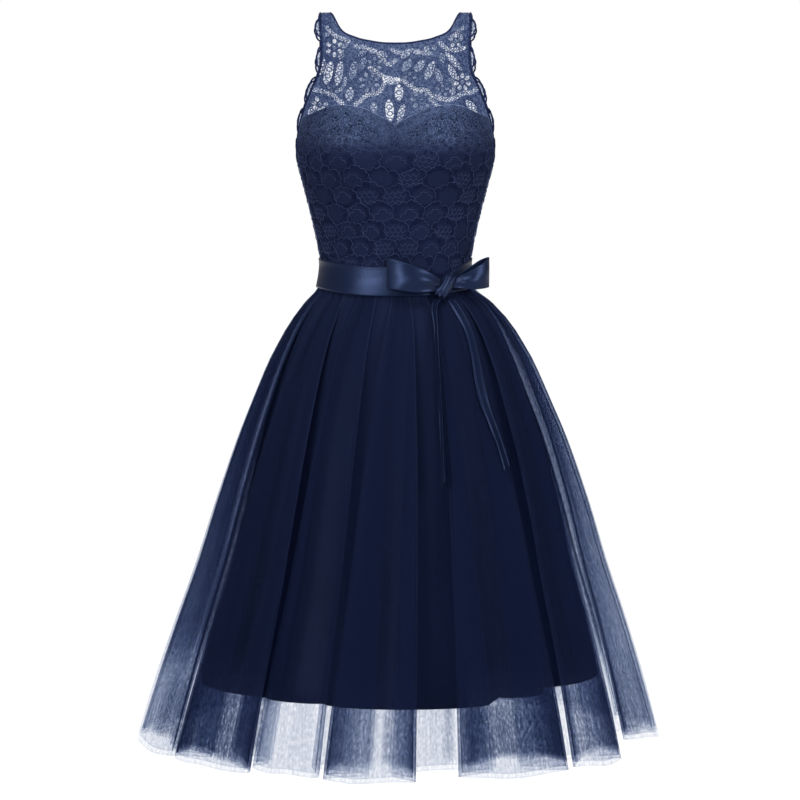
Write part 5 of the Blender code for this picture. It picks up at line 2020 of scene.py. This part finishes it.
@dataclass(frozen=True)
class Tulle:
    """Two layers of gathered net that share every fold: round lobes that close behind.

    A lobe's row holds its left and right edges, its two necks and the lift of its hem.
    """

    skirt: SkirtForm
    wardrobe: Wardrobe
    hem: float = -1047.0
    # Rows of points: the first drop below the waist, the last one and how many.
    stations: tuple[tuple[float, float, int], ...] = ((0.5, 46, 9), (46, 617, 30), (617, 677, 22))
    ply_rise: float = 6.0
    lobes: Table = (
        (-88.0, -57.7, -83, -64, 9), (-57.0, -33.0, -49, -42, 5), (-32.4, -16.8, -31, -19, 8),
        (-15.8, 3.7, -6.6, -1.4, 0), (12.7, 38.9, 22, 29, 3), (40.3, 56.6, 46, 51, 4),
        (58.2, 87.0, 67, 76, 24), (92.5, 118.5, 98, 111, 4), (121.5, 149.0, 131, 139, 0),
        (151.5, 176.0, 157, 171, 0), (180.5, 209.0, 190, 199, 0), (212.0, 238.0, 217, 232, 0),
        (240.5, 267.5, 250, 258, 0),
    )
    front_lobes: int = 7
    finer: int = 7
    # Drops below the waist, and the space between the two layers at each.
    gaps: Table = ((0, 20, 46, 677), (0.3, 0.8, 1.6, 3.0))
    wall: float = 1.3
    shorter: float = 6.0
    ripple: float = 1.6
    # How many plies bunch together at each angle of the hem: on the skirt's height, on the faces
    # of the folds near the hem, and on the cloth tucked between the folds there.
    bunched: Table = (
        (-92, -84, -76, -70, -66, -62, -59, -50, -33.5, -32, -17.5, -16, 11, 12, 38, 60, 74, 84, 96, 120,
         180, 240, 256, 262, 268),
        (1.2, 1.2, 2.6, 4.4, 3.4, 2.8, 4.4, 3.8, 2.4, 1.6, 1.6, 2.6, 2.6, 1.8, 2.6, 2.0, 1.5, 1.1, 1.0, 2.0,
         1.6, 2.6, 4.4, 2.6, 1.2),
    )
    low_bunched: Table = (
        (-92, -84, -75, -71, -69, -66, -64, -61.5, -59.5, -58, -50, -46.5, -41, -38.5, -32.9, -32.5, -17.5,
         -16.5, -6, -5, -3.4, -3, 3.7, 12.7, 14.5, 15.5, 38, 40, 56, 58, 62, 66, 72, 80, 88, 120, 180, 240,
         268),
        (0.9, 0.9, 1.6, 4.4, 3.6, 7.4, 10.0, 6.5, 9.0, 11.5, 10.5, 17.0, 17.0, 10.0, 10.0, 2.2, 2.2, 5.8,
         5.8, 2.4, 2.4, 6.2, 6.2, 3.2, 3.4, 12.2, 12.8, 8.4, 8.4, 8.6, 7.6, 7.0, 6.2, 1.3, 0.8, 1.2, 1.2,
         1.2, 1.0),
    )
    low_tucked: Table = (
        (-92, -66, -56, -48, -43, -37, -35.5, -32, -24, -14, -8, -1.4, 4, 10.5, 11.2, 12.4, 13, 22, 29, 46,
         51, 68, 98, 268),
        (1.0, 1.0, 2.0, 3.0, 6.0, 6.5, 2.2, 1.5, 1.8, 2.0, 1.0, 1.2, 2.3, 2.3, 5.0, 5.0, 1.4, 1.0, 1.2, 1.2,
         1.0, 1.0, 0.9, 1.0),
    )
    # How far above the front hem the hem behind it ends, at each angle, and the plies below that.
    single: Table = (
        (-92, -84, -60, -57, -50, -36, -34, -16.5, -14, -4, 3, 4, 14, 22, 30, 38.5, 40.5, 48, 56, 62, 72,
         86, 88),
        (18, 30, 24, 6, 20, 12, 6, 6, 16, 26, 14, 6, 12, 30, 26, 14, 8, 24, 12, 8, 22, 12, 4),
    )
    single_plies: float = 2.0

    def samples(self) -> tuple[Array, Array, Array]:
        """Read the lobes as samples round the hem.

        Returns:
            The hem angle, the share of the full radius and the hem's lift of each.
        """
        angles, shares, lifts = [], [], []
        for i, (left, right, neck_left, neck_right, lift) in enumerate(self.lobes):
            before = self.lobes[i - 1][3] - (360 if i == 0 else 0)
            width = right - left
            angles += [(before + neck_left) / 2, neck_left, left, left + 0.24 * width]
            angles += [(left + right) / 2, right - 0.24 * width, right, neck_right]
            shares += [0.15, 0.42, 0.82, 0.98, 1.0, 0.98, 0.82, 0.42]
            lifts += [lift * share for share in (0.5, 0.9, 1.2, 1, 0.8, 0.6, 0.5, 0.5)]
        return np.radians(angles), np.array(shares), np.array(lifts)

    def layer(self, depth: int) -> tuple[Array, Array, Array]:
        """Make one layer's surface.

        Args:
            depth: 0 for the outer layer and 1 for the inner one.

        Returns:
            Its grid of points from the hem upwards, its flat places and its plies.
        """
        hem_angle, share, lift = self.samples()
        count = len(hem_angle)
        waist_angle = self.skirt.even_angles(count, float(hem_angle[0]))
        number = np.arange(count * self.finer)
        even = number / self.finer * 2 * math.pi / count
        hem_fine = round_trip_angle(hem_angle, self.finer)
        waist_fine = round_trip_angle(waist_angle, self.finer)
        share_fine = np.clip(round_trip(share, self.finer), 0, 1.01)
        lift_fine = round_trip(lift, self.finer)
        pleat = -np.cos(math.pi * number / self.finer)
        uneven = 0.6 + 0.4 * np.sin(even * 11 + 2 * np.sin(even * 7))
        top = self.skirt.form.seam_height(waist_fine)
        hem = self.hem + self.ply_rise * (1 - share_fine) + lift_fine + 1.5 * np.sin(even * 37) * share_fine
        drops = np.unique(np.concatenate([np.linspace(*rows) for rows in self.stations]))
        grid, widths = [], []
        for drop in drops:
            down = drop / drops[-1]
            size = self.skirt.size(drop)
            turned = self.skirt.spread(drop)
            angle = waist_fine * (1 - turned) + hem_fine * turned
            loose = self.ripple * smooth_step(60, 260, drop) * uneven * (1 - 0.5 * share_fine)
            inward = size["fold"] * (1 - share_fine) + (size["gather"] + loose) * pleat
            plan = self.skirt.plan(angle, size, inward)
            if depth:
                plan = self.skirt.inset(plan, self.wall + float(np.interp(drop, *self.gaps)))
            rise = self.shorter * depth * smooth_step(600, 677, drop)
            grid.append(np.column_stack([plan, top + (hem - top) * down + rise]))
            step = np.linalg.norm(np.roll(plan, -1, 0) - plan, axis=1)
            widths.append(np.convolve(np.r_[step[-9:], step, step[:9]], np.ones(19) / 19, "valid"))
        grid, widths = np.array(grid)[::-1], np.array(widths)[::-1]
        gathered = np.clip(widths[0][None] / widths, 1.0, 5.0)
        turn = np.degrees(hem_fine)
        tables = (self.bunched, self.low_bunched, self.low_tucked, self.single)
        thick, face, tuck, band = (np.interp(turn, *table) for table in tables)
        low = smooth_step(520, 606, drops)[::-1, None]
        above = (drops[-1] - drops)[::-1, None]
        lone = 1 - smooth_step(band - 2.5, band + 2.5, above)
        facing = smooth_step(0.5, 0.74, share_fine)
        sparse = tuck * (1 - facing) + face * facing
        sparse = sparse * (1 - lone) + np.minimum(sparse, self.single_plies) * lone
        high = thick * (1 + 1.6 * (1 - share_fine))
        fold = smooth_step(0.66, 0.76, share_fine) * (1 - smooth_step(0.84, 0.94, share_fine))
        plies = gathered * self.creasing(grid) * (high * (1 - low) + sparse * low) * (1 + 0.7 * fold)
        plies[0] *= 1.8
        hem_run = run_length(np.vstack([grid[0], grid[0][:1]]))
        steps = np.linalg.norm(np.diff(grid, axis=0), axis=2).mean(1)
        fall = np.concatenate([[0], np.cumsum(steps)])[:, None]
        grid = np.concatenate([grid, grid[:, :1]], 1)
        plies = np.concatenate([plies, plies[:, :1]], 1)
        # The inner layer is cut a little off the outer one's grain, so that their cells don't agree.
        more, bias = 1 + 0.03 * depth, 0.05 * depth
        uv = pairs(hem_run * more + bias * fall, fall * more - bias * hem_run)
        return grid, uv, plies

    def creasing(self, grid: Array) -> Array:
        """Tell where a fold bunches the net: its plies grow where the plan turns sharply.

        Args:
            grid: the layer's points.

        Returns:
            A factor of its plies for each point.
        """
        plan = grid[..., :2]
        ahead = np.roll(plan, -2, 1) - plan
        behind = plan - np.roll(plan, 2, 1)
        cross = ahead[..., 0] * behind[..., 1] - ahead[..., 1] * behind[..., 0]
        dot = np.sum(ahead * behind, -1)
        turn = np.abs(np.arctan2(cross, dot))
        length = np.linalg.norm(ahead, axis=-1) + np.linalg.norm(behind, axis=-1)
        sharp = smooth_step(0.05, 0.22, turn / np.maximum(length, 1.0))
        return 1 + 1.6 * sharp

    def build(self) -> list[Piece]:
        """Make both layers, each with a front and a back.

        Returns:
            Their pieces.
        """
        pieces = []
        split = self.front_lobes * 8 * self.finer
        for depth, word in enumerate(("outer", "inner")):
            grid, uv, plies = self.layer(depth)
            for half, columns in (("front", slice(0, split + 1)), ("back", slice(split, None))):
                name = f"tulle_net_{word}_{half}"
                made = grid_object(
                    name, grid[:, columns], self.wardrobe.tulle, uv[:, columns], {"plies": plies[:, columns]},
                )
                node = (f"tulle_{word}_{half}",)
                pieces.append(Piece(made, "tulle", node, (2.4, 0.72), "gathered", ("sash_ribbon",), 0.96))
        return pieces


def round_trip_angle(angle: Array, steps: int) -> Array:
    """Read a closed run of growing angles smoothly between its samples."""
    even = np.arange(len(angle)) * 2 * math.pi / len(angle)
    fine = np.arange(len(angle) * steps) * 2 * math.pi / len(angle) / steps
    return round_trip(angle - even, steps) + fine


@dataclass(frozen=True)
class Underskirt:
    """The opaque underskirt, hung in broad cones between sharp folds.

    A fold's row holds its angle at the waist, its angle at the hem and the hem's lift after it.
    """

    skirt: SkirtForm
    wardrobe: Wardrobe
    tulle: Tulle
    hem: float = -961.0
    stations: tuple[tuple[float, float, int], ...] = ((0.5, 46, 7), (46, 591, 26))
    wall: float = 0.8
    ease: float = 2.2
    seam_gap: float = 0.3
    fold_depth: float = 13.0
    steps: int = 26
    folds: Table = (
        (-90, -90, 3), (-67, -41.3, 2), (-31, -19.4, -2), (23, 29.9, 7), (52, 46.2, 14), (90, 90, 8),
        (118, 112, 2), (150, 141, 0), (180, 178, 0), (212, 214, 2), (243, 246, 4),
    )

    def build(self) -> list[Piece]:
        """Make the underskirt's front and back.

        Returns:
            Their pieces.
        """
        waist, hem_turn, lifts, bulge = [], [], [], []
        for i, (at_waist, at_hem, lift) in enumerate(self.folds):
            after = self.folds[(i + 1) % len(self.folds)]
            round_trip_turn = 360 if i + 1 == len(self.folds) else 0
            t = np.arange(self.steps) / self.steps
            waist.append(at_waist + (after[0] + round_trip_turn - at_waist) * t)
            hem_turn.append(at_hem + (after[1] + round_trip_turn - at_hem) * t)
            lifts.append(lift + (after[2] - lift) * smooth_step(0.9, 1.0, t))
            bulge.append(1 - np.abs(2 * t - 1) ** 3.2)
        waist_angle, hem_angle = (np.radians(np.concatenate(turns)) for turns in (waist, hem_turn))
        lift, bulge = np.concatenate(lifts), np.concatenate(bulge)
        top = self.skirt.form.seam_height(waist_angle)
        drops = np.unique(np.concatenate([np.linspace(*rows) for rows in self.stations]))
        length = float(drops[-1])
        grid = []
        for drop in drops:
            size = self.skirt.size(drop)
            turned = self.skirt.spread(drop)
            angle = waist_angle * (1 - turned) + hem_angle * turned
            down = float(np.clip(drop / length, 0, 1)) ** 0.7
            clear = 2 * self.tulle.wall + float(np.interp(drop, *self.tulle.gaps)) + self.seam_gap
            clear += self.ease * min(drop / 120, 1.0)
            inward = size["fold"] + size["gather"] + clear + self.fold_depth * down * (1 - bulge)
            height = top + (self.hem + lift - top) * drop / length
            grid.append(np.column_stack([self.skirt.plan(angle, size, inward), height]))
        grid = np.array(grid)[::-1]
        grid = np.concatenate([grid, grid[:, :1]], 1)
        uv = pairs(run_length(grid[0]), -drops[::-1, None])
        pieces = []
        split = 5 * self.steps
        for half, columns in (("front", slice(0, split + 1)), ("back", slice(split, None))):
            name = f"underskirt_taffeta_{half}"
            made = grid_object(name, grid[:, columns], self.wardrobe.taffeta, uv[:, columns])
            thicken(made, self.wall)
            node = (f"underskirt_{half}",)
            pieces.append(Piece(made, "underskirt", node, (0.95, 0.61), "gathered", ("sash_ribbon",), 0.36))
        return pieces


# ---------- zip
@dataclass(frozen=True)
class Zip:
    """The concealed zip at the centre back: its seam, its slider and its pull tab."""

    form: BodyForm
    wardrobe: Wardrobe
    # How far off the centre back the seams run, in radians, and their heights.
    stitch_turn: float = 0.05
    heights: tuple[float, float] = (-346.0, -224.0)

    def build(self) -> list[Piece]:
        """Dress the slider, the pull and the tape, and sew the two seams beside them.

        Returns:
            The seams' piece.
        """
        wear = self.wardrobe
        for node, material in (("zip_slider", wear.zinc), ("zip_pull", wear.zinc), ("zip_tape", wear.tape)):
            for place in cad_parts[node].material_slots:
                place.material = material
        reach = self.form.reach_at(np.linspace(*self.heights, 60))
        lines = [self.form.points(pairs(math.pi + side * self.stitch_turn, reach), 0.15) for side in (1, -1)]
        stitches = LineWork(Repeat.STITCH, radius=0.22, length=2.0, spacing=3.0)
        return [Piece(stitches.make("zip_stitches", lines, wear.cord), "lace")]


# ---------- studio
@dataclass(frozen=True)
class Softbox:
    """One soft light: where it stands, what it is aimed at, its size and its power."""

    name: str
    place: tuple[float, float, float]
    aim: tuple[float, float, float]
    size: float
    power: float

    def build(self) -> None:
        """Make the light."""
        light = bpy.data.lights.new(self.name, "AREA")
        light.shape = "SQUARE"
        light.size = self.size
        light.energy = self.power
        made = place_object(self.name, light)
        made.location = self.place
        toward = Vector(self.aim) - Vector(self.place)
        made.rotation_euler = toward.to_track_quat("-Z", "Y").to_euler()


@dataclass(frozen=True)
class Studio:
    """A glowing white floor, soft light from both sides and above, and the camera in front."""

    floor_height: float = -1.36
    floor_size: float = 30.0
    camera_place: tuple[float, float, float] = (0.0065, -4.25, -0.184)
    camera_pitch: float = math.radians(-4.985)
    lens: float = 133.1
    air: float = 0.25
    acrylic_glow: float = 1.0
    boxes: tuple[Softbox, ...] = (
        Softbox("softbox_left", (-1.75, -3.1, 0.3), (0, 0, -0.5), 1.1, 100),
        Softbox("softbox_right", (2.7, -2.3, 0.5), (0, 0, -0.5), 1.5, 92),
        Softbox("softbox_above", (0, -1.3, 2.3), (0, 0, -0.3), 1.8, 90),
        Softbox("softbox_behind", (0, 2.6, 1.2), (0, 0, -0.6), 2.0, 55),
    )

    def build(self) -> None:
        """Make the studio."""
        scene = bpy.context.scene
        mesh = bpy.data.meshes.new("floor")
        half = self.floor_size / 2
        corners = [(x * half, y * half, self.floor_height) for x, y in ((-1, -1), (1, -1), (1, 1), (-1, 1))]
        mesh.from_pydata(corners, [], [(0, 1, 2, 3)])
        # Opal acrylic lit from below: it glows evenly white and shows hardly any shadow.
        acrylic = bpy.data.materials.new("Back-lit opal acrylic")
        acrylic.use_nodes = True
        feed(acrylic.node_tree.nodes["Principled BSDF"], {
            "Base Color": linear("545455"), "Roughness": 0.9, "Specular IOR Level": 0.0,
            "Emission Color": (1, 1, 1, 1), "Emission Strength": self.acrylic_glow,
        })
        mesh.materials.append(acrylic)
        floor = place_object("floor", mesh)

        world = bpy.data.worlds.new("Studio air")
        world.use_nodes = True
        ray = add_node(world.node_tree, "ShaderNodeLightPath")
        strength = add_node(
            world.node_tree, "ShaderNodeMapRange", {0: ray.outputs["Is Camera Ray"], 3: self.air, 4: 1.0}
        )
        feed(world.node_tree.nodes["Background"], {"Color": (1, 1, 1, 1), "Strength": strength})
        scene.world = world
        for softbox in self.boxes:
            softbox.build()

        view = bpy.data.cameras.new("camera")
        view.lens = self.lens
        view.sensor_width = 36.0
        view.clip_end = 100.0
        camera = place_object("camera", view)
        camera.location = self.camera_place
        camera.rotation_euler = (math.pi / 2 + self.camera_pitch, 0, 0)
        scene.camera = camera
        scene.view_settings.view_transform = "Standard"
        scene.cycles.transparent_max_bounces = 64


# ---------- the whole dress
def main() -> None:
    """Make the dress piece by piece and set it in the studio."""
    logging.basicConfig(level=logging.INFO, format="%(name)s: %(message)s")
    form = BodyForm()
    cut = BodiceCut(form)
    skirt = SkirtForm(form)
    wardrobe = Wardrobe.stocked()
    tulle = Tulle(skirt, wardrobe)
    for assembly in (
        Bodice(cut, LacePattern(), wardrobe),
        Edges(cut, wardrobe),
        Sash(form, wardrobe),
        Bow(form, skirt, wardrobe),
        Underskirt(skirt, wardrobe, tulle),
        tulle,
        Zip(form, wardrobe),
    ):
        for piece in assembly.build():
            piece.hand_over()
    Studio().build()


if __name__ == "__main__":
    main()
